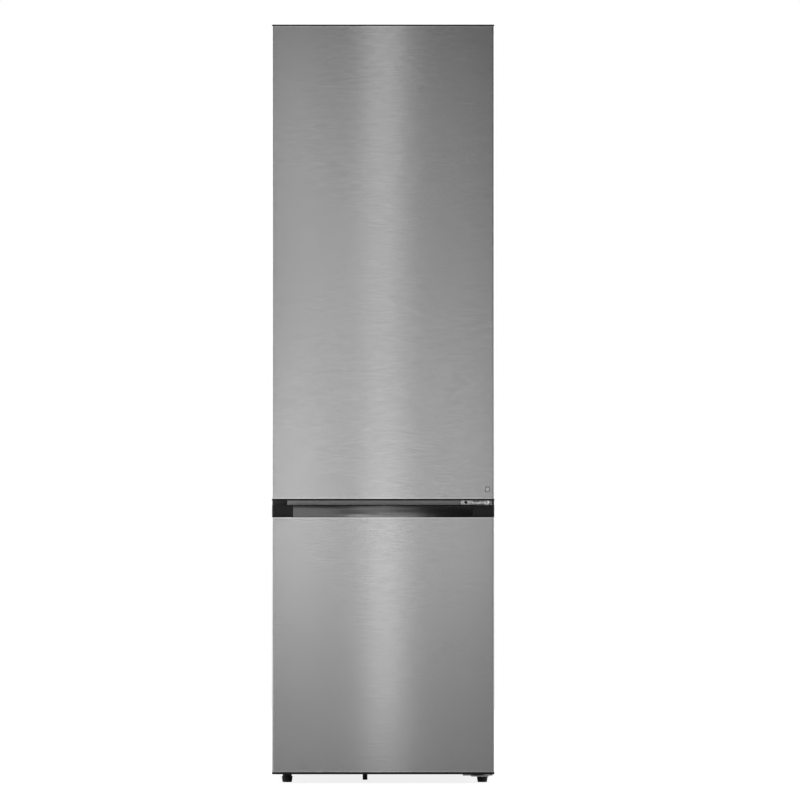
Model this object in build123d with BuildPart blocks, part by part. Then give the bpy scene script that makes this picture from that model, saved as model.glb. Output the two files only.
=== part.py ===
"""A free-standing refrigerator, 60 cm class, with the fridge above and the freezer below.

Millimetres. X runs to the right of a person facing the doors, Y runs from the doors to the
rear, and Z is up. The origin is on the floor, in the middle of the appliance's outline.
"""
from build123d import *
import os

os.makedirs("parts", exist_ok=True)

# ------------------------------------------------------------------ driving dimensions
# Overall
width = 595.0
height = 2030.0
depth = 660.0  # door fronts to the tips of the rear spacers

# Doors
door_thickness = 62.0
lower_door_bottom = 25.0
lower_door_height = 720.0
door_split = 12.0  # gap between the two doors
seal_gap = 10.0  # door back to cabinet front
skin = 0.8  # sheet steel
edge_radius = 4.5  # folded front edges
plate_inset = 2.0  # inner plate of a door, from its sides
top_cap_height = 4.0
bottom_cap_height = 5.0
lower_cap_height = 6.0
hem_depth = 4.0  # folded top edge of the lower door's steel
fold_width = 8.0  # steel folded in behind the door's edges
badge_side = 13.4
badge_edge_gap = 12.0
badge_height = 30.0  # above the upper door's bottom edge
badge_thickness = 0.8

# Recessed grips
grip_height = 33.0
grip_setback = 21.0  # front wall of the grip behind the door front
grip_well_depth = 12.0  # finger well behind the steel edge
grip_end_width = 56.0
grip_end_setback = 18.0
grip_wall = 2.2
groove_depth = 14.0  # finger groove below the upper door
groove_width = 18.0
groove_end = 72.5  # finger groove from the door's sides

# Cabinet
cabinet_drop = 18.0  # cabinet top below the door tops
cabinet_clearance = 27.0  # floor to the cabinet's underside
fridge_wall = 46.0
freezer_wall = 60.0
rear_wall = 45.0
fridge_ceiling = 46.0
freezer_floor_thickness = 66.0
mullion_height = 80.0
mullion_below_split = 46.0  # part of the divider below the middle of the door gap
liner = 1.5  # moulded plastic sheet
front_flange = 40.0
spacer_length = 12.0
cavity_radius = 18.0
back_sheet = 1.0
base_sheet = 2.0

# Compressor bay
bay_depth = 203.0
bay_height = 208.0
bay_wall = 45.0  # insulation between the bay and the freezer

# Gaskets
gasket_width = 17.0
gasket_inset = 24.0  # from the door's edges
gasket_split_inset = 9.0  # along the divider
seat_clearance = 0.3  # between faces of pieces that move apart

# Hinges
pivot_inset = 22.0  # from the door's side
pivot_setback = 30.0  # from the door's front
pin_radius = 4.0
pin_clearance = 0.08
pin_length = 15.0
collar_radius = 7.0
bush_radius = 7.0
bush_stand = 1.0  # bush end proud of the door
bush_length = 20.0
hinge_plate = 3.0
arm_inboard = 40.0  # reach of an arm to the left of its pin
arm_outboard = 8.0
arm_nose = 12.0  # reach of an arm in front of its pin
bottom_arm_z = 18.0  # underside of the bottom hinge's arm above the floor
screw_head_radius = 4.5
screw_head_height = 2.4

# Doors' inner mouldings
rim_clearance = 8.0  # between a door's rim and the cavity wall
rim_band = 26.0
fridge_rim_rise = 30.0  # beyond the cabinet front
freezer_rim_rise = 10.0
rim_draft = 5.0
rim_corner = 10.0

# Door bins
bin_count = 4
bin_depth = 92.0
bin_height = 95.0
bin_wall = 2.2
bin_gap = 3.5  # to the rims at both sides
lug_width = 10.0
lug_height = 24.0
lug_clearance = 0.4

# Fridge shelves
shelf_count = 4
pane = 4.0
shelf_gap = 2.5
trim_depth = 20.0
trim_height = 16.0
ledge_height = 10.0
ledge_width = 14.0
shelf_setback = 98.0  # front trims behind the cabinet front

# Drawers
drawer_wall = 2.5
drawer_draft = 3.0
drawer_corner = 14.0
pull_reach = 15.5
pull_drop = 22.0
drawer_side_room = 25.5  # fridge wall to a drawer's flange
crisper_height = 200.0
fresh_height = 120.0
freezer_drawer_side_room = 17.5
flange_reach = 8.0
drawer_setback = 95.0  # pulls of the fridge drawers behind the cabinet front
freezer_setback = 26.0
tier_room = 23.0  # height of a freezer tier that its drawer leaves free
step_room = 12.0  # least height from the step to the middle of the lowest pane

# Evaporator space
evaporator_space = 88.0
fan_radius = 50.0
fan_hub_radius = 17.0
fan_depth = 20.0
shaft_radius = 2.5
blade_count = 5
blade_pitch = 38.0
blade_thickness = 1.8

# Feet and rollers
foot_radius = 12.5
foot_height = 16.0
foot_top_radius = 14.5
foot_rim = 2.0
foot_flats = 12
stud_radius = 5.0
foot_neck = 21.0
stud_rise = 32.0  # stud above the base plate
boss_half = 9.0
boss_height = 14.0
left_foot_inset = 39.5
right_foot_inset = 31.5
foot_setback = 22.0  # behind the cabinet front
roller_radius = 12.5
roller_width = 18.0
roller_inset = 60.0
roller_setback = 30.0

# ------------------------------------------------------------------ places worked out from them
half = width / 2
front_y = -depth / 2 + badge_thickness  # steel front; only the badge stands proud of it
rear_y = depth / 2
door_back_y = front_y + door_thickness
steel_back_y = door_back_y - liner
cabinet_front_y = door_back_y + seal_gap
cabinet_rear_y = rear_y - spacer_length

lower_door_top = lower_door_bottom + lower_door_height
upper_door_bottom = lower_door_top + door_split
split_z = (lower_door_top + upper_door_bottom) / 2
lower_steel_top = lower_door_top - grip_height
cabinet_top = height - cabinet_drop
cabinet_bottom = cabinet_clearance
base_top = cabinet_bottom + base_sheet

fridge_half = half - fridge_wall
freezer_half = half - freezer_wall
cavity_back_y = cabinet_rear_y - rear_wall
freezer_floor = base_top + freezer_floor_thickness
freezer_top = split_z - mullion_below_split
fridge_floor = freezer_top + mullion_height
fridge_top = cabinet_top - fridge_ceiling
bay_front_y = cabinet_rear_y - bay_depth
bay_top = base_top + bay_height
step_y = bay_front_y - bay_wall
step_z = bay_top + bay_wall
flange_half = half - front_flange

pivot_x = half - pivot_inset
pivot_y = front_y + pivot_setback
bore_radius = pin_radius + pin_clearance
middle_arm_z = split_z - hinge_plate / 2
pocket_floor = cabinet_top - 2.0

fridge_rim_half = fridge_half - rim_clearance
freezer_rim_half = freezer_half - rim_clearance
fridge_rim_y = cabinet_front_y + fridge_rim_rise
freezer_rim_y = cabinet_front_y + freezer_rim_rise
duct_y = cavity_back_y - 25.0
evaporator_y = cavity_back_y - evaporator_space


# ------------------------------------------------------------------ shared shapes
def span(x, y, z, mode=Mode.ADD):
    """Add or cut the box that spans three ranges, each a (low, high) pair."""
    with Locations(((x[0] + x[1]) / 2, (y[0] + y[1]) / 2, (z[0] + z[1]) / 2)):
        Box(x[1] - x[0], y[1] - y[0], z[1] - z[0], mode=mode)


def rod(x, y, z, radius, mode=Mode.ADD):
    """Add or cut an upright cylinder between the two heights in z."""
    with Locations((x, y, (z[0] + z[1]) / 2)):
        Cylinder(radius, z[1] - z[0], mode=mode)


def finish(name, part):
    """Label a finished piece and write it to its own file."""
    part.label = name
    export_step(part, f"parts/{name}.step")


def door_plan(z, inset=0.0, rear=steel_back_y, front=front_y):
    """Plan of a door at height z, drawn in by inset, with its front edges rounded."""
    with BuildSketch(Plane.XY.offset(z)) as plan:
        with Locations((0, (front + inset + rear) / 2)):
            Rectangle(width - 2 * inset, rear - front - inset)
        fillet(plan.vertices().group_by(Axis.Y)[0], edge_radius - inset)
    return plan.sketch


def frame_ring(half_x, z_range, band, y_range):
    """Add a flat ring of one width that runs round a door, its corners mitred."""
    tall = z_range[1] - z_range[0]
    with BuildSketch(Plane.back.offset(y_range[0])) as ring:
        with Locations((0, sum(z_range) / 2)):
            Rectangle(2 * half_x, tall)
            Rectangle(2 * (half_x - band), tall - 2 * band, mode=Mode.SUBTRACT)
    extrude(ring.sketch, amount=y_range[1] - y_range[0])


def cut_folds(z_range):
    """Cut the room of the steel's rear folds out of what lies inside a door."""
    for side in (-1, 1):
        x = sorted((side * (half - fold_width), side * half))
        span(x, (steel_back_y - skin, steel_back_y), z_range, Mode.SUBTRACT)


# ------------------------------------------------------------------ hinge bushes
def bush_body(z, mode=Mode.ADD):
    """Add or cut the hexagon of a bush at the pivot, whose flats keep it from turning."""
    with BuildSketch(Plane.XY.offset(z[0])) as outline:
        with Locations((pivot_x, pivot_y)):
            RegularPolygon(bush_radius, 6)
    extrude(outline.sketch, amount=z[1] - z[0], mode=mode)


def hinge_bush(z, up):
    """Bush at the pivot: its end stands proud of height z, its sleeve runs up or down."""
    sign = 1 if up else -1
    with BuildPart() as bush:
        sleeve_z = sorted((z - sign * bush_stand, z + sign * bush_length))
        bush_body(sleeve_z)
        rod(pivot_x, pivot_y, sleeve_z, bore_radius, Mode.SUBTRACT)
    return bush.part


with BuildPart() as upper_door_bushes:
    add(hinge_bush(pocket_floor, up=False))
    add(hinge_bush(upper_door_bottom, up=True))
finish("upper_door_bushes", upper_door_bushes.part)

with BuildPart() as lower_door_bushes:
    add(hinge_bush(lower_door_top, up=False))
    add(hinge_bush(lower_door_bottom, up=True))
finish("lower_door_bushes", lower_door_bushes.part)


# ------------------------------------------------------------------ door steel
def door_skin(bottom, top):
    """Sheet steel folded round a door's front and sides, with a narrow fold at the rear."""
    with BuildPart() as sheet:
        extrude(door_plan(bottom), amount=top - bottom)
        extrude(door_plan(bottom, inset=skin), amount=top - bottom, mode=Mode.SUBTRACT)
        for side in (-1, 1):
            x = sorted((side * half, side * (half - fold_width)))
            span(x, (steel_back_y - skin, steel_back_y), (bottom, top))
    return sheet.part


# The hinge arm lies in a pocket in the door's top, which opens to the side and the rear: the
# pocket is as deep to the front as the arm reaches when the door stands fully open.
pocket_x = (pivot_x - arm_inboard - 5.0, half + 1.0)
pocket_y = (front_y + edge_radius + 2.0, door_back_y + 1.0)

with BuildPart() as upper_door_skin:
    add(door_skin(upper_door_bottom + bottom_cap_height, height - top_cap_height))
    span(pocket_x, pocket_y, (pocket_floor, height), Mode.SUBTRACT)
finish("upper_door_skin", upper_door_skin.part)

with BuildPart() as lower_door_skin:
    add(door_skin(lower_door_bottom + lower_cap_height, lower_steel_top))
    hem_half = half - edge_radius
    hem_z = (lower_steel_top - skin, lower_steel_top)
    span((-hem_half, hem_half), (front_y, front_y + hem_depth), hem_z)
finish("lower_door_skin", lower_door_skin.part)

# ------------------------------------------------------------------ door caps and grips
with BuildPart() as upper_door_top_cap:
    cap_z = height - top_cap_height
    extrude(door_plan(cap_z), amount=top_cap_height)
    top_edges = upper_door_top_cap.faces().sort_by(Axis.Z)[-1].edges()
    chamfer(top_edges, top_cap_height * 0.3)
    # Pocket for the hinge arm
    housing_x = (pocket_x[0] - grip_wall, half - skin)
    housing_y = (front_y + edge_radius, steel_back_y - skin)
    span(housing_x, housing_y, (pocket_floor - hinge_plate, cap_z))
    span(pocket_x, pocket_y, (pocket_floor, height + 1.0), Mode.SUBTRACT)
    bush_body((pocket_floor - 5.0, pocket_floor), Mode.SUBTRACT)
finish("upper_door_top_cap", upper_door_top_cap.part)

groove_y = (front_y + 8.0, front_y + 8.0 + groove_width)
groove_half_length = half - groove_end
with BuildPart() as upper_door_bottom_cap:
    extrude(door_plan(upper_door_bottom), amount=bottom_cap_height)
    # Finger groove across the middle, moulded as a trough
    trough_y = (groove_y[0] - grip_wall, groove_y[1] + grip_wall)
    trough_half = groove_half_length + grip_wall
    groove_top = upper_door_bottom + groove_depth
    span((-trough_half, trough_half), trough_y, (upper_door_bottom, groove_top + grip_wall))
    with BuildSketch(Plane.XY.offset(upper_door_bottom)):
        with Locations((0, (groove_y[0] + groove_y[1]) / 2)):
            SlotOverall(2 * groove_half_length, groove_width)
    extrude(amount=groove_depth, mode=Mode.SUBTRACT)
    bush_body((upper_door_bottom, groove_top), Mode.SUBTRACT)
finish("upper_door_bottom_cap", upper_door_bottom_cap.part)

with BuildPart() as lower_door_bottom_cap:
    extrude(door_plan(lower_door_bottom), amount=lower_cap_height)
    bush_body((0, 2 * lower_door_bottom), Mode.SUBTRACT)
finish("lower_door_bottom_cap", lower_door_bottom_cap.part)

# The grip's middle is one profile: a finger well behind the steel edge, a set-back front wall
# and the door's top. Two end pieces close it and carry the corners.
grip_wall_y = front_y + grip_setback
well_y = front_y + hem_depth
well_z = lower_steel_top - grip_well_depth
grip_half = half - grip_end_width


def grip_end(side):
    """Moulded end of the grip: a plug inside the steel and the door's upper corner above it."""
    with BuildPart() as end:
        end_x = sorted((side * grip_half, side * (half - skin)))
        span(end_x, (front_y + edge_radius, steel_back_y), (well_z - grip_wall, lower_steel_top))
        cut_folds((0, lower_steel_top))
        corner = door_plan(lower_steel_top, front=front_y + grip_end_setback)
        extrude(corner, amount=grip_height)
        rest_x = sorted((side * grip_half, -side * (half + 1.0)))
        span(rest_x, (front_y - 1.0, door_back_y + 1.0), (0, height), Mode.SUBTRACT)
        if side > 0:
            bush_z = (lower_door_top - bush_length, lower_door_top)
            bush_body(bush_z, Mode.SUBTRACT)
    return end.part


with BuildPart() as lower_door_grip:
    with BuildSketch(Plane.YZ.offset(-grip_half)) as grip_section:
        with BuildLine():
            Polyline(
                (well_y, lower_steel_top - skin),
                (well_y, well_z),
                (grip_wall_y, well_z),
                (grip_wall_y, lower_door_top),
                (steel_back_y, lower_door_top),
                (steel_back_y, lower_door_top - grip_wall),
                (grip_wall_y + grip_wall, lower_door_top - grip_wall),
                (grip_wall_y + grip_wall, well_z - grip_wall),
                (well_y - grip_wall, well_z - grip_wall),
                (well_y - grip_wall, lower_steel_top - skin),
                close=True,
            )
        make_face()
        well_corners = grip_section.vertices().filter_by_position(Axis.Y, well_z - 1, well_z + 1)
        fillet(well_corners, 5.0)
        brow = grip_section.vertices().group_by(Axis.Y)[-1].sort_by(Axis.X)[0]
        fillet(brow, 2.0)
    extrude(amount=2 * grip_half)
    add(grip_end(-1))
    add(grip_end(1))
finish("lower_door_grip", lower_door_grip.part)

# ------------------------------------------------------------------ door insulation and liners
fridge_rim_z = (fridge_floor + rim_clearance, fridge_top - rim_clearance)
freezer_rim_z = (freezer_floor + rim_clearance, freezer_top - rim_clearance)


def raised_rim(half_x, z_range, y_range, inset=0.0):
    """Drafted rim that reaches into the cabinet, drawn in by inset on every side."""
    tall = z_range[1] - z_range[0]
    band = rim_band - inset
    foot = Plane.back.offset(y_range[0])
    with BuildPart() as rim:
        with BuildSketch(foot) as ring:
            with Locations((0, sum(z_range) / 2)):
                Rectangle(2 * (half_x - inset), tall - 2 * inset)
            chamfer(ring.vertices(), rim_corner)
            with Locations((0, sum(z_range) / 2)):
                Rectangle(2 * (half_x - band), tall - 2 * band, mode=Mode.SUBTRACT)
        extrude(amount=y_range[1] - y_range[0])
        draft(rim.faces().filter_by(Axis.Y, reverse=True), foot, rim_draft)
    return rim.part


upper_core_rim = raised_rim(fridge_rim_half, fridge_rim_z, (steel_back_y, fridge_rim_y - liner), liner)
lower_core_rim = raised_rim(freezer_rim_half, freezer_rim_z, (steel_back_y, freezer_rim_y - liner), liner)
with BuildPart() as upper_door_foam:
    foam_z = (upper_door_bottom + bottom_cap_height, height - top_cap_height)
    extrude(door_plan(foam_z[0], inset=skin), amount=foam_z[1] - foam_z[0])
    add(upper_core_rim)
    cut_folds(foam_z)
    housing_room = (housing_y[0], door_back_y + 1.0)
    span(housing_x, housing_room, (pocket_floor - hinge_plate, height), Mode.SUBTRACT)
    span((-trough_half, trough_half), trough_y, (0, groove_top + grip_wall), Mode.SUBTRACT)
    bush_body((pocket_floor - bush_length, pocket_floor), Mode.SUBTRACT)
    bush_z = (upper_door_bottom, upper_door_bottom + bush_length)
    bush_body(bush_z, Mode.SUBTRACT)
finish("upper_door_foam", upper_door_foam.part)

with BuildPart() as lower_door_foam:
    foam_z = (lower_door_bottom + lower_cap_height, lower_door_top - grip_wall)
    extrude(door_plan(foam_z[0], inset=skin), amount=foam_z[1] - foam_z[0])
    add(lower_core_rim)
    cut_folds(foam_z)
    grip_z = (well_z - grip_wall, height)
    span((-half, half), (front_y - 1.0, grip_wall_y + grip_wall), grip_z, Mode.SUBTRACT)
    for side in (-1, 1):
        end_x = sorted((side * grip_half, side * half))
        span(end_x, (front_y, door_back_y), grip_z, Mode.SUBTRACT)
    bush_body((0, lower_door_bottom + bush_length), Mode.SUBTRACT)
finish("lower_door_foam", lower_door_foam.part)

# Bins hang by slotted flanges on lugs moulded on the rim.
bin_half = fridge_rim_half - rim_band - bin_gap
bin_flange = 5.5
bin_body_half = bin_half - bin_flange
bin_back_y = door_back_y + 1.0
bin_front_y = bin_back_y + bin_depth
bin_lift = 28.0
flange_drop = 34.0  # lower edge of a flange below the bin's top
lug_y = (bin_back_y + 14.0, bin_back_y + 14.0 + lug_width)
first_bin = fridge_rim_z[0] + rim_band + 7.0
last_bin = fridge_rim_z[1] - rim_band - bin_lift - bin_height - 2.0
bin_pitch = (last_bin - first_bin) / (bin_count - 1)
bin_floors = [first_bin + bin_pitch * level for level in range(bin_count)]


def door_liner(z_range, half_x, rim_z, rim_y, foam, lug_floors=()):
    """Moulded inner side of a door: a plate with a hollow rim, and lugs for the bins."""
    rim = raised_rim(half_x, rim_z, (door_back_y, rim_y))
    with BuildPart() as sheet:
        plate_half = half - plate_inset
        span((-plate_half, plate_half), (steel_back_y, door_back_y), (z_range[0] + 0.5, z_range[1] - 0.5))
        add(rim)
        for floor in lug_floors:
            lug_foot = floor + bin_height - flange_drop + 2.0
            for side in (-1, 1):
                x = sorted((side * (bin_body_half + 0.7), side * (half_x - rim_band + 4.0)))
                span(x, lug_y, (lug_foot, lug_foot + lug_height))
        add(foam, mode=Mode.SUBTRACT)
    return sheet.part


with BuildPart() as upper_door_liner:
    plate_z = (upper_door_bottom, height)
    lug_args = (upper_door_foam.part, bin_floors)
    add(door_liner(plate_z, fridge_rim_half, fridge_rim_z, fridge_rim_y, *lug_args))
    span(pocket_x, pocket_y, (pocket_floor, height), Mode.SUBTRACT)
finish("upper_door_liner", upper_door_liner.part)

with BuildPart() as lower_door_liner:
    plate_z = (lower_door_bottom, lower_door_top)
    foam = lower_door_foam.part
    add(door_liner(plate_z, freezer_rim_half, freezer_rim_z, freezer_rim_y, foam))
finish("lower_door_liner", lower_door_liner.part)


# ------------------------------------------------------------------ gaskets and badge
def gasket(z_range):
    """Magnetic seal of a door: a foot, a narrow fold and the wider head with the magnet."""
    layers = ((0.0, 2.5, 0.0), (2.5, 6.5, 4.0), (6.5, seal_gap - seat_clearance, 1.5))
    with BuildPart() as seal:
        for start, end, inset in layers:
            ring_z = (z_range[0] + inset, z_range[1] - inset)
            ring_y = (door_back_y + start, door_back_y + end)
            ring_half = half - gasket_inset - inset
            frame_ring(ring_half, ring_z, gasket_width - 2 * inset, ring_y)
    return seal.part


upper_gasket_z = (upper_door_bottom + gasket_split_inset, height - gasket_inset)
lower_gasket_z = (lower_door_bottom + gasket_inset, lower_door_top - gasket_split_inset)
finish("upper_door_gasket", gasket(upper_gasket_z))
finish("lower_door_gasket", gasket(lower_gasket_z))

with BuildPart() as badge:
    badge_x = half - badge_edge_gap - badge_side / 2
    with BuildSketch(Plane.XZ.offset(-front_y)):
        with Locations((badge_x, upper_door_bottom + badge_height)):
            Rectangle(badge_side, badge_side)
    extrude(amount=badge_thickness)
    chamfer(badge.edges().filter_by(Axis.Y), 1.0)
finish("badge", badge.part)


# ------------------------------------------------------------------ door bins
def door_bin(floor):
    """Open tub that leans out to the front, with a slotted hanging flange at each end."""
    top = floor + bin_height
    with BuildPart() as tub:
        with BuildSketch(Plane.YZ.offset(-bin_body_half)) as section:
            with BuildLine():
                Polyline(
                    (bin_back_y, floor),
                    (bin_front_y - 12.0, floor),
                    (bin_front_y, top),
                    (bin_back_y, top),
                    close=True,
                )
            make_face()
            fillet(section.vertices().group_by(Axis.Y)[0], 10.0)
        extrude(amount=2 * bin_body_half)
        offset(amount=-bin_wall, openings=tub.faces().sort_by(Axis.Z)[-1])
        # Thick front edge
        with BuildSketch(Plane.YZ.offset(-bin_body_half)):
            with Locations((bin_front_y - bin_wall, top - 4.0)):
                Rectangle(7.0, 8.0)
        extrude(amount=2 * bin_body_half)
        for side in (-1, 1):
            x = sorted((side * bin_body_half, side * bin_half))
            flange_y = (lug_y[0] - 10.0, lug_y[1] + 10.0)
            span(x, flange_y, (top - flange_drop, top - 2.0))
            slot_y = (lug_y[0] - lug_clearance, lug_y[1] + lug_clearance)
            slot_top = top - flange_drop + 2.0 + lug_height + seat_clearance
            span(x, slot_y, (top - flange_drop, slot_top), Mode.SUBTRACT)
    return tub.part


for number, floor in enumerate(bin_floors, start=1):
    finish(f"door_bin_{number}", door_bin(floor))

# ------------------------------------------------------------------ cabinet liners
def fridge_cavity(grow=0.0):
    """Room of the fridge, or with grow the room that its liner takes."""
    with BuildPart() as room:
        with BuildSketch(Plane.back.offset(cabinet_front_y - grow)):
            with Locations((0, (fridge_floor + fridge_top) / 2)):
                tall = fridge_top - fridge_floor + 2 * grow
                RectangleRounded(2 * (fridge_half + grow), tall, cavity_radius + grow)
        extrude(amount=cavity_back_y - cabinet_front_y + 2 * grow)
    return room.part


def freezer_cavity(grow=0.0):
    """Room of the freezer, stepped over the compressor bay, or the room that its liner takes."""
    with BuildPart() as room:
        with BuildSketch(Plane.YZ.offset(-freezer_half - grow)) as section:
            with BuildLine():
                Polyline(
                    (cabinet_front_y - grow, freezer_floor - grow),
                    (step_y + grow, freezer_floor - grow),
                    (step_y + grow, step_z - grow),
                    (cavity_back_y + grow, step_z - grow),
                    (cavity_back_y + grow, freezer_top + grow),
                    (cabinet_front_y - grow, freezer_top + grow),
                    close=True,
                )
            make_face()
        extrude(amount=2 * (freezer_half + grow))
        roof_edges = room.faces().sort_by(Axis.Z)[-1].edges().filter_by(Axis.Y)
        fillet(roof_edges, cavity_radius + grow)
    return room.part


def rails(wall_x, inner_x, y_range, top_z, thickness):
    """Add a pair of moulded rails on the side walls, their tops at top_z."""
    for side in (-1, 1):
        x = sorted((side * inner_x, side * (wall_x + liner / 2)))
        span(x, y_range, (top_z - thickness, top_z))


# Heights inside the fridge, from its floor upward
drawer_room = 6.0  # below a drawer that stands on a floor
pane_room = 9.0  # below a drawer over a shelf, where the shelf's trim stands up
crisper_half = fridge_half - drawer_side_room
crisper_floor = fridge_floor + drawer_room
crisper_top = crisper_floor + crisper_height
cover_z = crisper_top + 10.0
fresh_floor = cover_z + pane + pane_room
fresh_top = fresh_floor + fresh_height
first_shelf = fresh_top + 11.0
top_space = 256.0
shelf_pitch = (fridge_top - top_space - first_shelf) / (shelf_count - 1)
shelf_levels = [first_shelf + shelf_pitch * level for level in range(shelf_count)]
shelf_front_y = cabinet_front_y + shelf_setback
shelf_back_y = duct_y - 3.0
shelf_half = fridge_half - shelf_gap

# Heights inside the freezer, whose lowest tier also clears the step over the compressor bay
freezer_drawer_half = freezer_half - freezer_drawer_side_room
first_tier = max((freezer_top - freezer_floor) / 3, step_z + step_room - freezer_floor)
upper_tier = (freezer_top - freezer_floor - first_tier) / 2
tiers = [first_tier, upper_tier, upper_tier]
tier_floors = [freezer_floor, freezer_floor + first_tier, freezer_floor + first_tier + upper_tier]
freezer_drawer_heights = [tier - tier_room for tier in tiers]
freezer_pane_levels = [floor - pane / 2 for floor in tier_floors[1:]]
drawer_floors = [tier_floors[0] + drawer_room] + [z + pane + pane_room for z in freezer_pane_levels]
freezer_shelf_front_y = cabinet_front_y + freezer_setback + 2.0
freezer_shelf_back_y = evaporator_y - 4.0
freezer_shelf_half = freezer_half - shelf_gap

drawer_flange = 3.0
fridge_drawer_front = cabinet_front_y + drawer_setback + pull_reach
freezer_drawer_front = cabinet_front_y + freezer_setback + pull_reach

front_void = (cabinet_front_y - 10.0, cabinet_front_y)
lip_y = (cabinet_front_y, cabinet_front_y + liner)

with BuildPart() as fridge_rails:
    for level in shelf_levels + [cover_z]:
        ledge_y = (shelf_front_y + trim_depth + 4.0, shelf_back_y)
        rails(fridge_half, fridge_half - ledge_width, ledge_y, level, ledge_height)
    for top in (crisper_top, fresh_top):
        rail_y = (fridge_drawer_front + 4.0, shelf_back_y)
        rail_x = crisper_half - flange_reach + 1.5
        rails(fridge_half, rail_x, rail_y, top - drawer_flange - seat_clearance, ledge_height)
    add(fridge_cavity(liner / 2), mode=Mode.INTERSECT)

with BuildPart() as fridge_liner:
    add(fridge_cavity(liner))
    add(fridge_cavity(), mode=Mode.SUBTRACT)
    span((-half, half), front_void, (0, height), Mode.SUBTRACT)
    for side in (-1, 1):
        lip_x = sorted((side * (fridge_half + liner / 2), side * flange_half))
        span(lip_x, lip_y, (fridge_floor - liner, cabinet_top - front_flange))
    span((-flange_half, flange_half), lip_y, (fridge_top + liner / 2, cabinet_top - front_flange))
    add(fridge_rails.part)
finish("fridge_liner", fridge_liner.part)

with BuildPart() as freezer_rails:
    for level in freezer_pane_levels:
        ledge_y = (freezer_shelf_front_y + trim_depth + 4.0, freezer_shelf_back_y)
        rails(freezer_half, freezer_half - ledge_width, ledge_y, level, ledge_height)
    for tier_number, floor in enumerate(drawer_floors):
        top = floor + freezer_drawer_heights[tier_number]
        rail_end = step_y if tier_number == 0 else freezer_shelf_back_y
        rail_y = (freezer_drawer_front + 4.0, rail_end - 8.0)
        rail_x = freezer_drawer_half - flange_reach + 1.5
        rails(freezer_half, rail_x, rail_y, top - drawer_flange - seat_clearance, ledge_height)
    add(freezer_cavity(liner / 2), mode=Mode.INTERSECT)

with BuildPart() as freezer_liner:
    add(freezer_cavity(liner))
    add(freezer_cavity(), mode=Mode.SUBTRACT)
    span((-half, half), front_void, (0, height), Mode.SUBTRACT)
    lip_floor = cabinet_bottom + front_flange
    for side in (-1, 1):
        lip_x = sorted((side * (freezer_half + liner / 2), side * flange_half))
        span(lip_x, lip_y, (lip_floor, freezer_top + liner))
    span((-flange_half, flange_half), lip_y, (lip_floor, freezer_floor - liner / 2))
    add(freezer_rails.part)
finish("freezer_liner", freezer_liner.part)

# ------------------------------------------------------------------ cabinet shell
with BuildPart() as cabinet_shell:
    outline_z = (cabinet_bottom + cabinet_top) / 2
    tall = cabinet_top - cabinet_bottom
    with BuildSketch(Plane.back.offset(cabinet_front_y)):
        with Locations((0, outline_z)):
            Rectangle(width, tall)
        with Locations((0, outline_z - skin)):
            Rectangle(width - 2 * skin, tall, mode=Mode.SUBTRACT)
    extrude(amount=cabinet_rear_y - cabinet_front_y)
    with BuildSketch(Plane.back.offset(cabinet_front_y)):
        with Locations((0, outline_z)):
            Rectangle(width, tall)
            Rectangle(2 * flange_half, tall - 2 * front_flange, mode=Mode.SUBTRACT)
    extrude(amount=skin)
finish("cabinet_shell", cabinet_shell.part)

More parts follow.
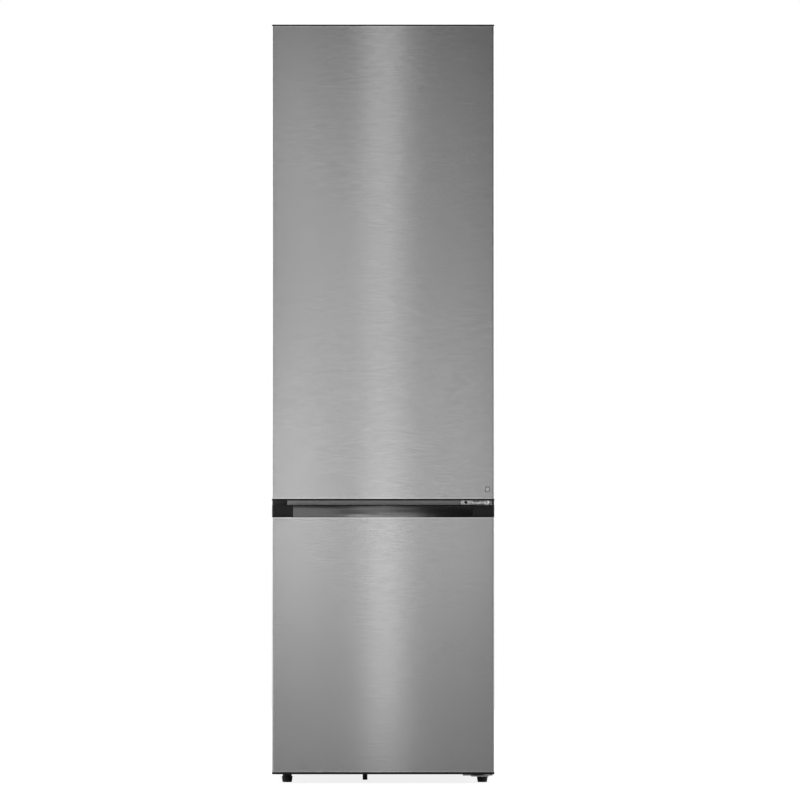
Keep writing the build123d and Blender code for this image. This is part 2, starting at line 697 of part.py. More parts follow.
bay_sheet_top = bay_top + base_sheet
foot_y = cabinet_front_y + foot_setback
stud_top = base_top + stud_rise
left_foot_x = -half + left_foot_inset
right_foot_x = half - right_foot_inset
roller_x = half - roller_inset
roller_y = cabinet_rear_y - roller_setback
ear = 2.0
ear_gap = 1.0
ear_drop = 8.0  # below and beside the axle
plate_y = (cabinet_front_y, foot_y + 24.0)
with BuildPart() as base_plate:
    # One bent sheet: floor of the cabinet, front wall of the compressor bay, its ceiling
    with BuildSketch(Plane.YZ.offset(-half + skin)) as bent:
        with BuildLine():
            Polyline(
                (cabinet_front_y + skin, cabinet_bottom),
                (cabinet_rear_y, cabinet_bottom),
                (cabinet_rear_y, base_top),
                (bay_front_y, base_top),
                (bay_front_y, bay_top),
                (cabinet_rear_y, bay_top),
                (cabinet_rear_y, bay_sheet_top),
                (bay_front_y - base_sheet, bay_sheet_top),
                (bay_front_y - base_sheet, base_top),
                (cabinet_front_y + skin, base_top),
                close=True,
            )
        make_face()
        bend = bent.vertices().filter_by_position(Axis.Y, bay_top - 1, bay_top + 1)
        fillet(bend.sort_by(Axis.X)[0], 12.0)
        outer_bend = bent.vertices().filter_by_position(Axis.Y, bay_sheet_top - 1, height)
        fillet(outer_bend.sort_by(Axis.X)[0], 12.0 + base_sheet)
    extrude(amount=2 * (half - skin))
    # Seats of the two front feet, and the plate that carries the left one
    boss_y = (foot_y - boss_half, foot_y + boss_half)
    for foot_x in (left_foot_x, right_foot_x):
        span((foot_x - boss_half, foot_x + boss_half), boss_y, (base_top, base_top + boss_height))
    left_plate_x = (-half + 6.0, -half + 72.0)
    plate_z = (cabinet_bottom - hinge_plate, cabinet_bottom)
    span(left_plate_x, (plate_y[0] + skin, plate_y[1]), plate_z)
    for foot_x in (left_foot_x, right_foot_x):
        stud_z = (plate_z[0] - 1.0, base_top + boss_height)
        rod(foot_x, foot_y, stud_z, stud_radius + pin_clearance, Mode.SUBTRACT)
    # Ears of the rear rollers, each pair with its riveted axle
    for side in (-1, 1):
        for face in (-1, 1):
            ear_x = side * roller_x + face * (roller_width / 2 + ear_gap + ear / 2)
            ear_z = (roller_radius - ear_drop, cabinet_bottom)
            with BuildSketch(Plane.YZ.offset(ear_x - ear / 2)) as tab:
                with Locations((roller_y, sum(ear_z) / 2)):
                    Rectangle(2 * ear_drop, ear_z[1] - ear_z[0])
                chamfer(tab.vertices().group_by(Axis.Y)[0], ear_drop / 2)
            extrude(amount=ear)
        axle_x = side * roller_x - roller_width / 2 - ear_gap - ear
        with BuildSketch(Plane.YZ.offset(axle_x)):
            with Locations((roller_y, roller_radius)):
                Circle(pin_radius)
        extrude(amount=roller_width + 2 * (ear_gap + ear))
finish("base_plate", base_plate.part)

with BuildPart() as cabinet_back:
    sheet_z = (bay_sheet_top, cabinet_top - skin)
    span((-half + skin, half - skin), (cabinet_rear_y - back_sheet, cabinet_rear_y), sheet_z)
finish("cabinet_back", cabinet_back.part)

with BuildPart() as mullion_trim:
    strip_z = (freezer_top + liner, fridge_floor - liner)
    span((-flange_half, flange_half), (cabinet_front_y, cabinet_front_y + liner), strip_z)
    # Plugs of the spare hinge holes, opposite the middle hinge's screws
    screw_places = ((21.5, -7.5), (53.5, 0.0))  # left of the pivot, above the middle of the gap
    for gap, rise in screw_places:
        with BuildSketch(Plane.XZ.offset(-cabinet_front_y)):
            with Locations((-pivot_x + gap, split_z + rise)):
                Circle(screw_head_radius)
        extrude(amount=1.2)
finish("mullion_trim", mullion_trim.part)

with BuildPart() as cabinet_foam:
    foam_y = (cabinet_front_y + liner, cabinet_rear_y - back_sheet)
    span((-half + skin, half - skin), foam_y, (base_top, cabinet_top - skin))
    add(fridge_cavity(liner), mode=Mode.SUBTRACT)
    add(freezer_cavity(liner), mode=Mode.SUBTRACT)
    bay_y = (bay_front_y - base_sheet, rear_y)
    span((-half, half), bay_y, (0, bay_sheet_top), Mode.SUBTRACT)
    for foot_x in (left_foot_x, right_foot_x):
        boss_x = (foot_x - boss_half, foot_x + boss_half)
        span(boss_x, boss_y, (base_top, stud_top + 5.0), Mode.SUBTRACT)
finish("cabinet_foam", cabinet_foam.part)

# ------------------------------------------------------------------ hinges
arm_x = (pivot_x - arm_inboard, pivot_x + arm_outboard)
arm_y = (pivot_y - arm_nose, cabinet_front_y)


def hinge_arm(z, rear):
    """Plate that reaches forward over the pivot, its front corners rounded."""
    with BuildPart() as arm:
        with BuildSketch(Plane.XY.offset(z)) as outline:
            with Locations((sum(arm_x) / 2, (arm_y[0] + rear) / 2)):
                Rectangle(arm_x[1] - arm_x[0], rear - arm_y[0])
            fillet(outline.vertices().group_by(Axis.Y)[0], 6.0)
        extrude(amount=hinge_plate)
    return arm.part


top_plate_y = (cabinet_front_y + 10.0, cabinet_front_y + 68.0)
with BuildPart() as top_hinge:
    add(hinge_arm(cabinet_top, top_plate_y[1]))
    rod(pivot_x, pivot_y, (cabinet_top - pin_length, cabinet_top), pin_radius)
finish("top_hinge", top_hinge.part)

middle_plate_height = 25.0
middle_plate_x = (pivot_x - 67.0, pivot_x + 16.0)
with BuildPart() as middle_hinge:
    add(hinge_arm(middle_arm_z, cabinet_front_y))
    plate_z = (split_z - middle_plate_height / 2, split_z + middle_plate_height / 2)
    span(middle_plate_x, (cabinet_front_y - hinge_plate, cabinet_front_y), plate_z)
    collar_top = upper_door_bottom - bush_stand - seat_clearance
    rod(pivot_x, pivot_y, (middle_arm_z + hinge_plate, collar_top), collar_radius)
    pin_z = (lower_door_top - pin_length, collar_top + pin_length)
    rod(pivot_x, pivot_y, pin_z, pin_radius)
finish("middle_hinge", middle_hinge.part)

with BuildPart() as bottom_hinge:
    web_y = (cabinet_front_y, cabinet_front_y + hinge_plate)
    add(hinge_arm(bottom_arm_z, web_y[1]))
    hinge_x = (pivot_x - 62.0, pivot_x + 18.0)
    span(hinge_x, web_y, (bottom_arm_z, cabinet_bottom))
    span(hinge_x, (web_y[0], plate_y[1]), (cabinet_bottom - hinge_plate, cabinet_bottom))
    collar_top = lower_door_bottom - bush_stand - seat_clearance
    rod(pivot_x, pivot_y, (bottom_arm_z + hinge_plate, collar_top), collar_radius)
    rod(pivot_x, pivot_y, (collar_top, collar_top + pin_length), pin_radius)
    stud_z = (0, cabinet_bottom)
    rod(right_foot_x, foot_y, stud_z, stud_radius + pin_clearance, Mode.SUBTRACT)
finish("bottom_hinge", bottom_hinge.part)


def screw_head(x, y, z, axis_plane):
    """Add a low hexagon head that lies on a plane at the point given."""
    with BuildSketch(axis_plane) as disc:
        with Locations(axis_plane.to_local_coords(Vector(x, y, z))):
            RegularPolygon(screw_head_radius, 6)
    extrude(disc.sketch, amount=screw_head_height)


with BuildPart() as hinge_screws:
    top_plane = Plane.XY.offset(cabinet_top + hinge_plate)
    for x in (arm_x[0] + 12.0, arm_x[1] - 12.0):
        for y in (top_plate_y[0] + 12.0, top_plate_y[1] - 12.0):
            screw_head(x, y, cabinet_top + hinge_plate, top_plane)
    face_plane = Plane.XZ.offset(-(cabinet_front_y - hinge_plate))
    for gap, rise in screw_places:
        screw_head(pivot_x - gap, cabinet_front_y - hinge_plate, split_z + rise, face_plane)
    under = Plane((0, 0, cabinet_bottom - hinge_plate), x_dir=(1, 0, 0), z_dir=(0, 0, -1))
    for x in (left_foot_x + 17.0 + screw_head_radius, right_foot_x - 17.0 - screw_head_radius):
        screw_head(x, foot_y, cabinet_bottom - hinge_plate, under)
finish("hinge_screws", hinge_screws.part)

with BuildPart() as top_hinge_cover:
    cover_x = (arm_x[0] - 8.0, arm_x[1] + 8.0)
    cover_y = (cabinet_front_y + 2.0, top_plate_y[1] + 8.0)
    cover_top = height - 3.0
    for wall, mode in ((0.0, Mode.ADD), (grip_wall, Mode.SUBTRACT)):
        with BuildSketch(Plane.XY.offset(cabinet_top)) as plan:
            with Locations(((cover_x[0] + cover_x[1]) / 2, (cover_y[0] + cover_y[1]) / 2)):
                Rectangle(cover_x[1] - cover_x[0] - 2 * wall, cover_y[1] - cover_y[0] - 2 * wall)
            chamfer(plan.vertices(), 5.0 - wall / 2)
        extrude(amount=cover_top - cabinet_top - wall, mode=mode)
    chamfer(top_hinge_cover.faces().sort_by(Axis.Z)[-1].edges(), 1.5)
    arm_room_x = (arm_x[0] - 0.5, arm_x[1] + 0.5)
    arm_room_y = (cover_y[0] - 1.0, cover_y[0] + 10.0)
    span(arm_room_x, arm_room_y, (cabinet_top, cabinet_top + hinge_plate + 0.5), Mode.SUBTRACT)
finish("top_hinge_cover", top_hinge_cover.part)

# ------------------------------------------------------------------ feet and rollers
def front_foot(x):
    """Levelling foot: a tapered pad with flats for the fingers, a hexagon and a threaded stud."""
    hex_top = cabinet_bottom - hinge_plate - seat_clearance
    with BuildPart() as foot:
        with BuildSketch():
            with Locations((x, foot_y)):
                RegularPolygon(foot_top_radius, foot_flats)
        extrude(amount=foot_height)
        pad_base = foot.faces().sort_by(Axis.Z)[0]
        chamfer(pad_base.edges(), foot_top_radius - foot_radius, foot_height - foot_rim, reference=pad_base)
        with BuildSketch(Plane.XY.offset(foot_height)):
            with Locations((x, foot_y)):
                RegularPolygon(foot_neck / 2, 6, major_radius=False)
        extrude(amount=hex_top - foot_height)
        rod(x, foot_y, (hex_top, stud_top), stud_radius)
    return foot.part


finish("front_foot_left", front_foot(left_foot_x))
finish("front_foot_right", front_foot(right_foot_x))


def rear_roller(side):
    """Moulded roller that turns on the axle riveted in its ears."""
    with BuildPart() as roller:
        with BuildSketch(Plane.YZ.offset(side * roller_x - roller_width / 2)):
            with Locations((roller_y, roller_radius)):
                Circle(roller_radius)
                Circle(pin_radius + pin_clearance, mode=Mode.SUBTRACT)
        extrude(amount=roller_width)
    return roller.part


finish("rear_roller_left", rear_roller(-1))
finish("rear_roller_right", rear_roller(1))

# ------------------------------------------------------------------ shelves
def shelf_pane(half_x, y_range, level):
    """Add a sheet of glass with eased corners whose underside is at level."""
    with BuildSketch(Plane.XY.offset(level)) as sheet:
        with Locations((0, sum(y_range) / 2)):
            Rectangle(2 * half_x, y_range[1] - y_range[0])
        chamfer(sheet.vertices(), 3.0)
    extrude(sheet.sketch, amount=pane)


def shelf_trim(half_x, front, level):
    """Add the bevelled front edge of a shelf, slotted to grip the glass."""
    with BuildSketch(Plane.YZ.offset(-half_x)) as section:
        with Locations((front + trim_depth / 2, level + pane / 2)):
            Rectangle(trim_depth, trim_height)
        chamfer(section.vertices().group_by(Axis.X)[0], 4.0)
        with Locations((front + trim_depth, level + pane / 2)):
            Rectangle(trim_depth, pane, mode=Mode.SUBTRACT)
    extrude(section.sketch, amount=2 * half_x)


fridge_pane_y = (shelf_front_y + trim_depth / 2, shelf_back_y)
freezer_pane_y = (freezer_shelf_front_y + trim_depth / 2, freezer_shelf_back_y)
with BuildPart() as fridge_shelves:
    for level in shelf_levels:
        shelf_pane(shelf_half, fridge_pane_y, level)
finish("fridge_shelves", fridge_shelves.part)

with BuildPart() as crisper_cover:
    shelf_pane(shelf_half, fridge_pane_y, cover_z)
finish("crisper_cover", crisper_cover.part)

with BuildPart() as freezer_shelves:
    for level in freezer_pane_levels:
        shelf_pane(freezer_shelf_half, freezer_pane_y, level)
finish("freezer_shelves", freezer_shelves.part)

with BuildPart() as shelf_trims:
    for level in shelf_levels + [cover_z]:
        shelf_trim(shelf_half, shelf_front_y, level)
    for level in freezer_pane_levels:
        shelf_trim(freezer_shelf_half, freezer_shelf_front_y, level)
finish("shelf_trims", shelf_trims.part)


# ------------------------------------------------------------------ drawers
def drafted_block(half_x, y_range, z_range):
    """Block with cut corners that narrows towards its floor, so that it leaves its mould."""
    with BuildPart() as block:
        with BuildSketch(Plane.XY.offset(z_range[0])) as plan:
            with Locations((0, sum(y_range) / 2)):
                Rectangle(2 * half_x, y_range[1] - y_range[0])
            chamfer(plan.vertices(), drawer_corner)
        extrude(amount=z_range[1] - z_range[0])
        sides = block.faces().filter_by(Axis.Z, reverse=True)
        draft(sides, Plane.XY.offset(z_range[1]), -drawer_draft)
    return block.part


def drawer(half_x, front, back, floor, top):
    """Drafted tub that hangs by side flanges, with a front panel that curls into a pull."""
    body_half = half_x - flange_reach
    outside = drafted_block(body_half, (front, back), (floor, top))
    inner_y = (front + drawer_wall, back - drawer_wall)
    inside = drafted_block(body_half - drawer_wall, inner_y, (floor + drawer_wall, top))
    with BuildPart() as tub:
        add(outside)
        add(inside, mode=Mode.SUBTRACT)
        for side in (-1, 1):
            x = sorted((side * (body_half - drawer_wall), side * half_x))
            span(x, (front + 16.0, back - 16.0), (top - drawer_flange, top))
        with BuildSketch(Plane.YZ.offset(-half_x)) as panel:
            with BuildLine():
                face = front - drawer_flange
                lip = front - pull_reach
                Polyline(
                    (front + 1.0, floor - 2.0),
                    (face, floor - 2.0),
                    (face, top - 6.0),
                    (lip + drawer_wall, top - 6.0),
                    (lip + drawer_wall, top - pull_drop),
                    (lip, top - pull_drop),
                    (lip, top - 2.0),
                    (lip + 4.0, top + 2.0),
                    (front + 1.0, top + 2.0),
                    close=True,
                )
            make_face()
        extrude(amount=2 * half_x)
    return tub.part


fridge_drawer_back = duct_y - 12.0
crisper_args = (crisper_half, fridge_drawer_front, fridge_drawer_back)
finish("crisper_drawer", drawer(*crisper_args, crisper_floor, crisper_top))
finish("fresh_drawer", drawer(*crisper_args, fresh_floor, fresh_top))

freezer_backs = (step_y - 8.0, evaporator_y - 8.0, evaporator_y - 8.0)
places = zip(("bottom", "middle", "top"), drawer_floors, freezer_drawer_heights, freezer_backs)
for place, floor, tall, back in places:
    box = drawer(freezer_drawer_half, freezer_drawer_front, back, floor, floor + tall)
    finish(f"freezer_drawer_{place}", box)

# ------------------------------------------------------------------ fridge fittings
with BuildPart() as air_duct:
    # Shallow channel up the rear wall, its sides sloped, with an outlet over each shelf
    duct_half = 92.0
    duct_z = (fresh_top + 20.0, fridge_top - 36.0)
    with BuildSketch(Plane.XY.offset(duct_z[0])) as plan:
        with BuildLine():
            Polyline(
                (-duct_half + 12.0, duct_y),
                (-duct_half, cavity_back_y),
                (duct_half, cavity_back_y),
                (duct_half - 12.0, duct_y),
                close=True,
            )
        make_face()
    extrude(amount=duct_z[1] - duct_z[0])
    with BuildSketch(Plane.XY.offset(duct_z[0] - 1.0)):
        with Locations((0, (duct_y + 8.0 + cavity_back_y) / 2)):
            Rectangle(2 * duct_half - 32.0, cavity_back_y - duct_y - 8.0)
    extrude(amount=duct_z[1] - duct_z[0] - 3.0, mode=Mode.SUBTRACT)
    for level in shelf_levels:
        with BuildSketch(Plane.back.offset(duct_y - 1.0)):
            with Locations((0, level + 120.0)):
                with GridLocations(40.0, 12.0, 3, 2):
                    Rectangle(34.0, 5.0)
        extrude(amount=12.0, mode=Mode.SUBTRACT)
finish("air_duct", air_duct.part)

panel_front_y = fridge_rim_y + 14.0
panel_depth = 62.0
with BuildPart() as control_panel:
    # Wedge under the ceiling: its face slopes up to the front so that it reads from outside
    panel_half = 130.0
    with BuildSketch(Plane.YZ.offset(-panel_half)) as wedge:
        with BuildLine():
            Polyline(
                (panel_front_y, fridge_top),
                (panel_front_y, fridge_top - 8.0),
                (panel_front_y + 16.0, fridge_top - 18.0),
                (panel_front_y + panel_depth, fridge_top - 14.0),
                (panel_front_y + panel_depth, fridge_top),
                close=True,
            )
        make_face()
        fillet(wedge.vertices().sort_by(Axis.Y)[0], 4.0)
    extrude(amount=2 * panel_half)
    # Touch fields
    under_panel = Plane((0, 0, fridge_top - 25.0), x_dir=(1, 0, 0), z_dir=(0, 0, 1))
    with BuildSketch(under_panel):
        with Locations((0, panel_front_y + 38.0)):
            with GridLocations(40.0, 20.0, 5, 1):
                Rectangle(18.0, 11.0)
    extrude(amount=9.6, mode=Mode.SUBTRACT)
finish("control_panel", control_panel.part)

with BuildPart() as led_light:
    lens_y = panel_front_y + panel_depth + 14.0
    with BuildSketch(Plane.XY.offset(fridge_top)):
        with Locations((0, lens_y + 22.0)):
            Rectangle(210.0, 44.0)
    extrude(amount=-7.0)
    chamfer(led_light.faces().sort_by(Axis.Z)[0].edges(), 2.5)
finish("led_light", led_light.part)

# ------------------------------------------------------------------ freezer air side
fan_z = freezer_top - 95.0
shroud_radius = fan_radius + 5.0
cover_back_y = evaporator_y + 3.0
shroud_back_y = cover_back_y + 36.0
with BuildPart() as evaporator_cover:
    cover_z_range = (step_z + seat_clearance, freezer_top - seat_clearance)
    with BuildSketch(Plane.back.offset(evaporator_y)):
        with Locations((0, sum(cover_z_range) / 2)):
            tall = cover_z_range[1] - cover_z_range[0]
            RectangleRounded(2 * (freezer_half - seat_clearance), tall, cavity_radius)
        # Fan guard: slots between spokes
        with Locations((0, fan_z)):
            with PolarLocations(36.0, 10):
                Rectangle(26.0, 11.0, mode=Mode.SUBTRACT)
        # Air returns near the floor of the cover
        with Locations((0, step_z + 58.0)):
            with GridLocations(60.0, 14.0, 6, 2):
                Rectangle(50.0, 6.0, mode=Mode.SUBTRACT)
    extrude(amount=cover_back_y - evaporator_y)
    with BuildSketch(Plane.back.offset(cover_back_y)):
        with Locations((0, fan_z)):
            Circle(shroud_radius)
            Circle(shroud_radius - 2.5, mode=Mode.SUBTRACT)
    extrude(amount=shroud_back_y - cover_back_y)
finish("evaporator_cover", evaporator_cover.part)

fan_y = cover_back_y + 8.0
with BuildPart() as fan_motor:
    # Round motor on three arms whose ends lie on the rear of the shroud
    arm_plane = Plane.back.offset(shroud_back_y)
    with BuildSketch(arm_plane):
        with Locations((0, fan_z)):
            Circle(20.0)
            with PolarLocations(37.5, 3, start_angle=90):
                Rectangle(39.0, 7.0)
    extrude(amount=3.0)
    with BuildSketch(arm_plane):
        with Locations((0, fan_z)):
            Circle(20.0)
    extrude(amount=24.0)
    with BuildSketch(Plane.back.offset(fan_y + 2.0)):
        with Locations((0, fan_z)):
            Circle(shaft_radius)
    extrude(amount=shroud_back_y - fan_y)
finish("fan_motor", fan_motor.part)


def fan_blade():
    """Paddle set at an angle on the hub, its outline swept to the fan's outer radius."""
    pitch = Plane((0, fan_y + fan_depth / 2, fan_z)).rotated((90.0 - blade_pitch, 0, 0))
    with BuildPart() as blade:
        with BuildSketch(pitch.offset(-blade_thickness / 2)):
            with BuildLine():
                Polyline(
                    (fan_hub_radius - 3.0, -9.0),
                    (fan_radius - 8.0, -11.0),
                    (fan_radius - 2.0, -6.0),
                    (fan_radius - 3.0, 8.0),
                    (fan_radius - 12.0, 13.0),
                    (fan_hub_radius - 3.0, 9.0),
                    close=True,
                )
            make_face()
        extrude(amount=blade_thickness)
    return blade.part


fan_axis = Axis((0, 0, fan_z), (0, 1, 0))
with BuildPart() as evaporator_fan:
    with BuildSketch(Plane.back.offset(fan_y)):
        with Locations((0, fan_z)):
            Circle(fan_hub_radius)
    extrude(amount=fan_depth)
    for turn in range(blade_count):
        add(fan_blade().rotate(fan_axis, turn * 360 / blade_count))
    with BuildSketch(Plane.back.offset(fan_y - 1.0)):
        with Locations((0, fan_z)):
            Circle(shaft_radius + pin_clearance)
    extrude(amount=fan_depth + 2.0, mode=Mode.SUBTRACT)
finish("evaporator_fan", evaporator_fan.part)

with BuildPart() as evaporator:
    # Flat channel that runs to and fro through a pack of plain fins
    fin_count = 7
    fin = 1.0
    channel_rows = 4
    channel = 7.0
    coil_half = freezer_half - 47.5
    coil_y = (cover_back_y + 12.0, cavity_back_y - 14.0)
    coil_z = (step_z + 34.0, fan_z - shroud_radius - 24.0)
    row_pitch = (coil_z[1] - coil_z[0] - 40.0) / (channel_rows - 1)
    channel_y = (sum(coil_y) / 2 - channel, sum(coil_y) / 2 + channel)
    for row in range(channel_rows):
        z = coil_z[0] + 20.0 + row * row_pitch
        span((-coil_half, coil_half), channel_y, (z - channel / 2, z + channel / 2))
        if row < channel_rows - 1:
            side = 1 if row % 2 == 0 else -1
            x = sorted((side * coil_half, side * (coil_half - channel)))
            span(x, channel_y, (z, z + row_pitch))
    fin_pitch = 2 * (coil_half - 26.0) / (fin_count - 1)
    with Locations((0, sum(coil_y) / 2, sum(coil_z) / 2)):
        with GridLocations(fin_pitch, 1.0, fin_count, 1):
            Box(fin, coil_y[1] - coil_y[0], coil_z[1] - coil_z[0])
    # Side hangers fix the coil to the rear wall
    for side in (-1, 1):
        x = sorted((side * (coil_half - 26.0), side * (coil_half - 38.0)))
        span(x, (coil_y[1] - 1.0, cavity_back_y), (coil_z[0] + 20.0, coil_z[0] + 60.0))
finish("evaporator", evaporator.part)

# ------------------------------------------------------------------ compressor bay
compressor_x = 40.0
compressor_y = (bay_front_y + cabinet_rear_y) / 2
grommet_height = 14.0
mount_z = base_top + grommet_height
mount_size = (230.0, 118.0)
mount_hole = (206.0, 94.0)
mount_sheet = 2.5
dome_radius = 68.0
seam_reach = 3.0
dome_floor = mount_z - 6.0
seam_z = mount_z + 62.0
dome_top = mount_z + 148.0
with BuildPart() as compressor:
    # Two drawn steel halves, the upper lapped over the lower and welded, on a mounting plate
    with BuildSketch(Plane.XZ.offset(-compressor_y)):
        shell_x = compressor_x + dome_radius
        with BuildLine():
            Polyline(
                (compressor_x, dome_floor),
                (shell_x, dome_floor),
                (shell_x, seam_z),
                (shell_x + seam_reach, seam_z),
                (shell_x + seam_reach, dome_top - 26.0),
                (shell_x - 24.0, dome_top),
                (compressor_x, dome_top),
                close=True,
            )
        make_face()
    revolve(axis=Axis((compressor_x, compressor_y, 0), (0, 0, 1)))
    with BuildSketch(Plane.XY.offset(mount_z)) as mount:
        with Locations((compressor_x, compressor_y)):
            Rectangle(*mount_size)
            with GridLocations(*mount_hole, 2, 2):
                Circle(5.0, mode=Mode.SUBTRACT)
        chamfer(mount.vertices().group_by(Axis.X)[0] + mount.vertices().group_by(Axis.X)[-1], 12.0)
    extrude(amount=mount_sheet)
finish("compressor", compressor.part)

with BuildPart() as compressor_grommets:
    # Rubber foot below the plate, square neck through its hole and square retainer above it
    retainer_half = 8.0
    neck_half = 3.4
    retainer_z = (mount_z + mount_sheet + seat_clearance, mount_z + mount_sheet + 5.0)
    for x in (compressor_x - mount_hole[0] / 2, compressor_x + mount_hole[0] / 2):
        for y in (compressor_y - mount_hole[1] / 2, compressor_y + mount_hole[1] / 2):
            rod(x, y, (base_top, mount_z), 11.0)
            neck_x = (x - neck_half, x + neck_half)
            span(neck_x, (y - neck_half, y + neck_half), (mount_z, retainer_z[0]))
            retainer_x = (x - retainer_half, x + retainer_half)
            span(retainer_x, (y - retainer_half, y + retainer_half), retainer_z)
finish("compressor_grommets", compressor_grommets.part)

with BuildPart() as terminal_box:
    box_x = (compressor_x + dome_radius - 8.0, compressor_x + dome_radius + 34.0)
    box_z = (mount_z + 70.0, mount_z + 112.0)
    span(box_x, (compressor_y - 27.0, compressor_y + 27.0), box_z)
    chamfer(terminal_box.faces().sort_by(Axis.X)[-1].edges(), 3.0)
    add(compressor.part, mode=Mode.SUBTRACT)
finish("terminal_box", terminal_box.part)

tray_half = (84.0, 66.0)
tray_height = 26.0
tray_wall = 2.0
tray_corner = 14.0
with BuildPart() as drip_tray:
    for wall, mode in ((0.0, Mode.ADD), (tray_wall, Mode.SUBTRACT)):
        with BuildSketch(Plane.XY.offset(dome_top + wall)) as plan:
            with Locations((compressor_x, compressor_y)):
                Rectangle(2 * (tray_half[0] - wall), 2 * (tray_half[1] - wall))
            chamfer(plan.vertices(), tray_corner)
        extrude(amount=tray_height, mode=mode)
finish("drip_tray", drip_tray.part)


def line_to_wall(x, z, radius, start_y, end_y):
    """Add a straight tube that runs along Y."""
    with BuildSketch(Plane.XZ.offset(-start_y)) as section:
        with Locations((x, z)):
            Circle(radius)
    extrude(section.sketch, amount=start_y - end_y)


with BuildPart() as refrigerant_pipes:
    # Suction and discharge pipes run from the shell to the bay's front wall
    for reach, rise, radius in ((-30.0, 96.0, 4.0), (34.0, 34.0, 3.2)):
        place = (compressor_x + reach, mount_z + rise)
        line_to_wall(*place, radius, compressor_y, bay_front_y)
    add(compressor.part, mode=Mode.SUBTRACT)
    # Filter drier: a canister that hangs from its pipe at the bay's ceiling
    drier_x = compressor_x - dome_radius - 100.0
    drier_y = bay_front_y + 40.0
    drier_z = (base_top + 70.0, base_top + 150.0)
    rod(drier_x, drier_y, drier_z, 9.5)
    rod(drier_x, drier_y, (drier_z[1], bay_top), 3.2)
finish("refrigerant_pipes", refrigerant_pipes.part)

with BuildPart() as compressor_cover:
    # Slotted sheet over the rear of the bay; its rolled hole is the gland of the mains cord
    cover_half = half - 14.0
    gland_place = (24.0 - cover_half, (base_top + bay_top) / 2)
    with BuildSketch(Plane.back.offset(cabinet_rear_y)):
        with Locations((0, (cabinet_bottom + bay_sheet_top) / 2)):
            Rectangle(2 * cover_half, bay_sheet_top - cabinet_bottom)
        with Locations((0, bay_top - 56.0), (0, base_top + 58.0)):
            with GridLocations(42.0, 1.0, 11, 1):
                Rectangle(16.0, 56.0, mode=Mode.SUBTRACT)
        with Locations(gland_place):
            Circle(7.0, mode=Mode.SUBTRACT)
    extrude(amount=1.2)
    with BuildSketch(Plane.back.offset(cabinet_rear_y)):
        with Locations(gland_place):
            Circle(11.0)
            Circle(7.0, mode=Mode.SUBTRACT)
    extrude(amount=5.0)
finish("compressor_cover", compressor_cover.part)

with BuildPart() as rear_spacers:
    spacer_z = cabinet_top - 120.0
    for x in (-half / 2, half / 2):
        with BuildSketch(Plane.back.offset(cabinet_rear_y)) as foot:
            with Locations((-x, spacer_z)):
                Rectangle(34.0, 26.0)
            chamfer(foot.vertices(), 6.0)
        extrude(amount=spacer_length)
finish("rear_spacers", rear_spacers.part)

with BuildPart() as drain_tube:
    drain_x = -49.0
    drain_y = foot_y + 20.0
    drain_radius = 6.5
    rod(drain_x, drain_y, (5.0, cabinet_bottom), drain_radius)
    foot_x = (drain_x - drain_radius - 3.0, drain_x + drain_radius + 3.0)
    foot_reach = (drain_y - drain_radius - 3.0, drain_y + drain_radius + 3.0)
    span(foot_x, foot_reach, (cabinet_bottom - 2.0, cabinet_bottom))
    rod(drain_x, drain_y, (0, cabinet_bottom), drain_radius - 1.5, Mode.SUBTRACT)
finish("drain_tube", drain_tube.part)
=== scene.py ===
# %% [markdown]
# # A bottom freezer refrigerator, finished for a studio photograph
#
# The shape of this refrigerator comes from its CAD model. This script gives each of its pieces the
# look of what it is made of, adds the small trim that is too fine for the CAD model, and sets up
# the camera, the floor and the lamps. All lengths are in metres, and the front of the appliance
# looks towards -Y.

# %% Load the CAD model
import math

import bpy
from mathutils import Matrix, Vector


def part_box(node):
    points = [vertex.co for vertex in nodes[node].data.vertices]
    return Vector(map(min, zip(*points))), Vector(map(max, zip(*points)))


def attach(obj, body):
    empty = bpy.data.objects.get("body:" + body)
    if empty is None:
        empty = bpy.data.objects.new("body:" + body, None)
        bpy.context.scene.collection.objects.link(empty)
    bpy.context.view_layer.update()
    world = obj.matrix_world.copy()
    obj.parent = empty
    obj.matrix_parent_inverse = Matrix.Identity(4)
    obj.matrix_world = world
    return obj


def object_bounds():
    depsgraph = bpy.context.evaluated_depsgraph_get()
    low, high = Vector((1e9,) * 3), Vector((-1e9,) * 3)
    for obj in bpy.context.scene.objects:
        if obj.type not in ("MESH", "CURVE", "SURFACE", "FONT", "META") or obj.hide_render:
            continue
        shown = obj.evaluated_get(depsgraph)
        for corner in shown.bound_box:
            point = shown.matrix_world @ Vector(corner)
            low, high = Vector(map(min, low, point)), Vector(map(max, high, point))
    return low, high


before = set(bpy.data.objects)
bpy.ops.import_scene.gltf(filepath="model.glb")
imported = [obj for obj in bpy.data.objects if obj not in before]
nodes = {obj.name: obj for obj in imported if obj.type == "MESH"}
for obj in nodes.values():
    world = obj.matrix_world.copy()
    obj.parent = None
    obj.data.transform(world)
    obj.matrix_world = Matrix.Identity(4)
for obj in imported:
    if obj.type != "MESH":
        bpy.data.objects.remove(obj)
cad_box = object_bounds()
low, high = (Vector(corner) for corner in cad_box)
width, depth, height = high - low
print(f"{len(nodes)} CAD pieces, {width:.3f} x {depth:.3f} x {height:.3f} m")

# %% [markdown]
# ## Camera
#
# The photograph shows the front squarely, with almost nothing of the sides, top or underside. That
# is the look of a long lens from far away. The camera stands 20 m in front of the doors, a little
# to the right of the middle, and its lens is narrow enough to frame the appliance with a thin
# margin.

# %% Camera
camera_distance = 20.0
camera_x = 0.045
camera_z = 1.026
framed_width = 2.139

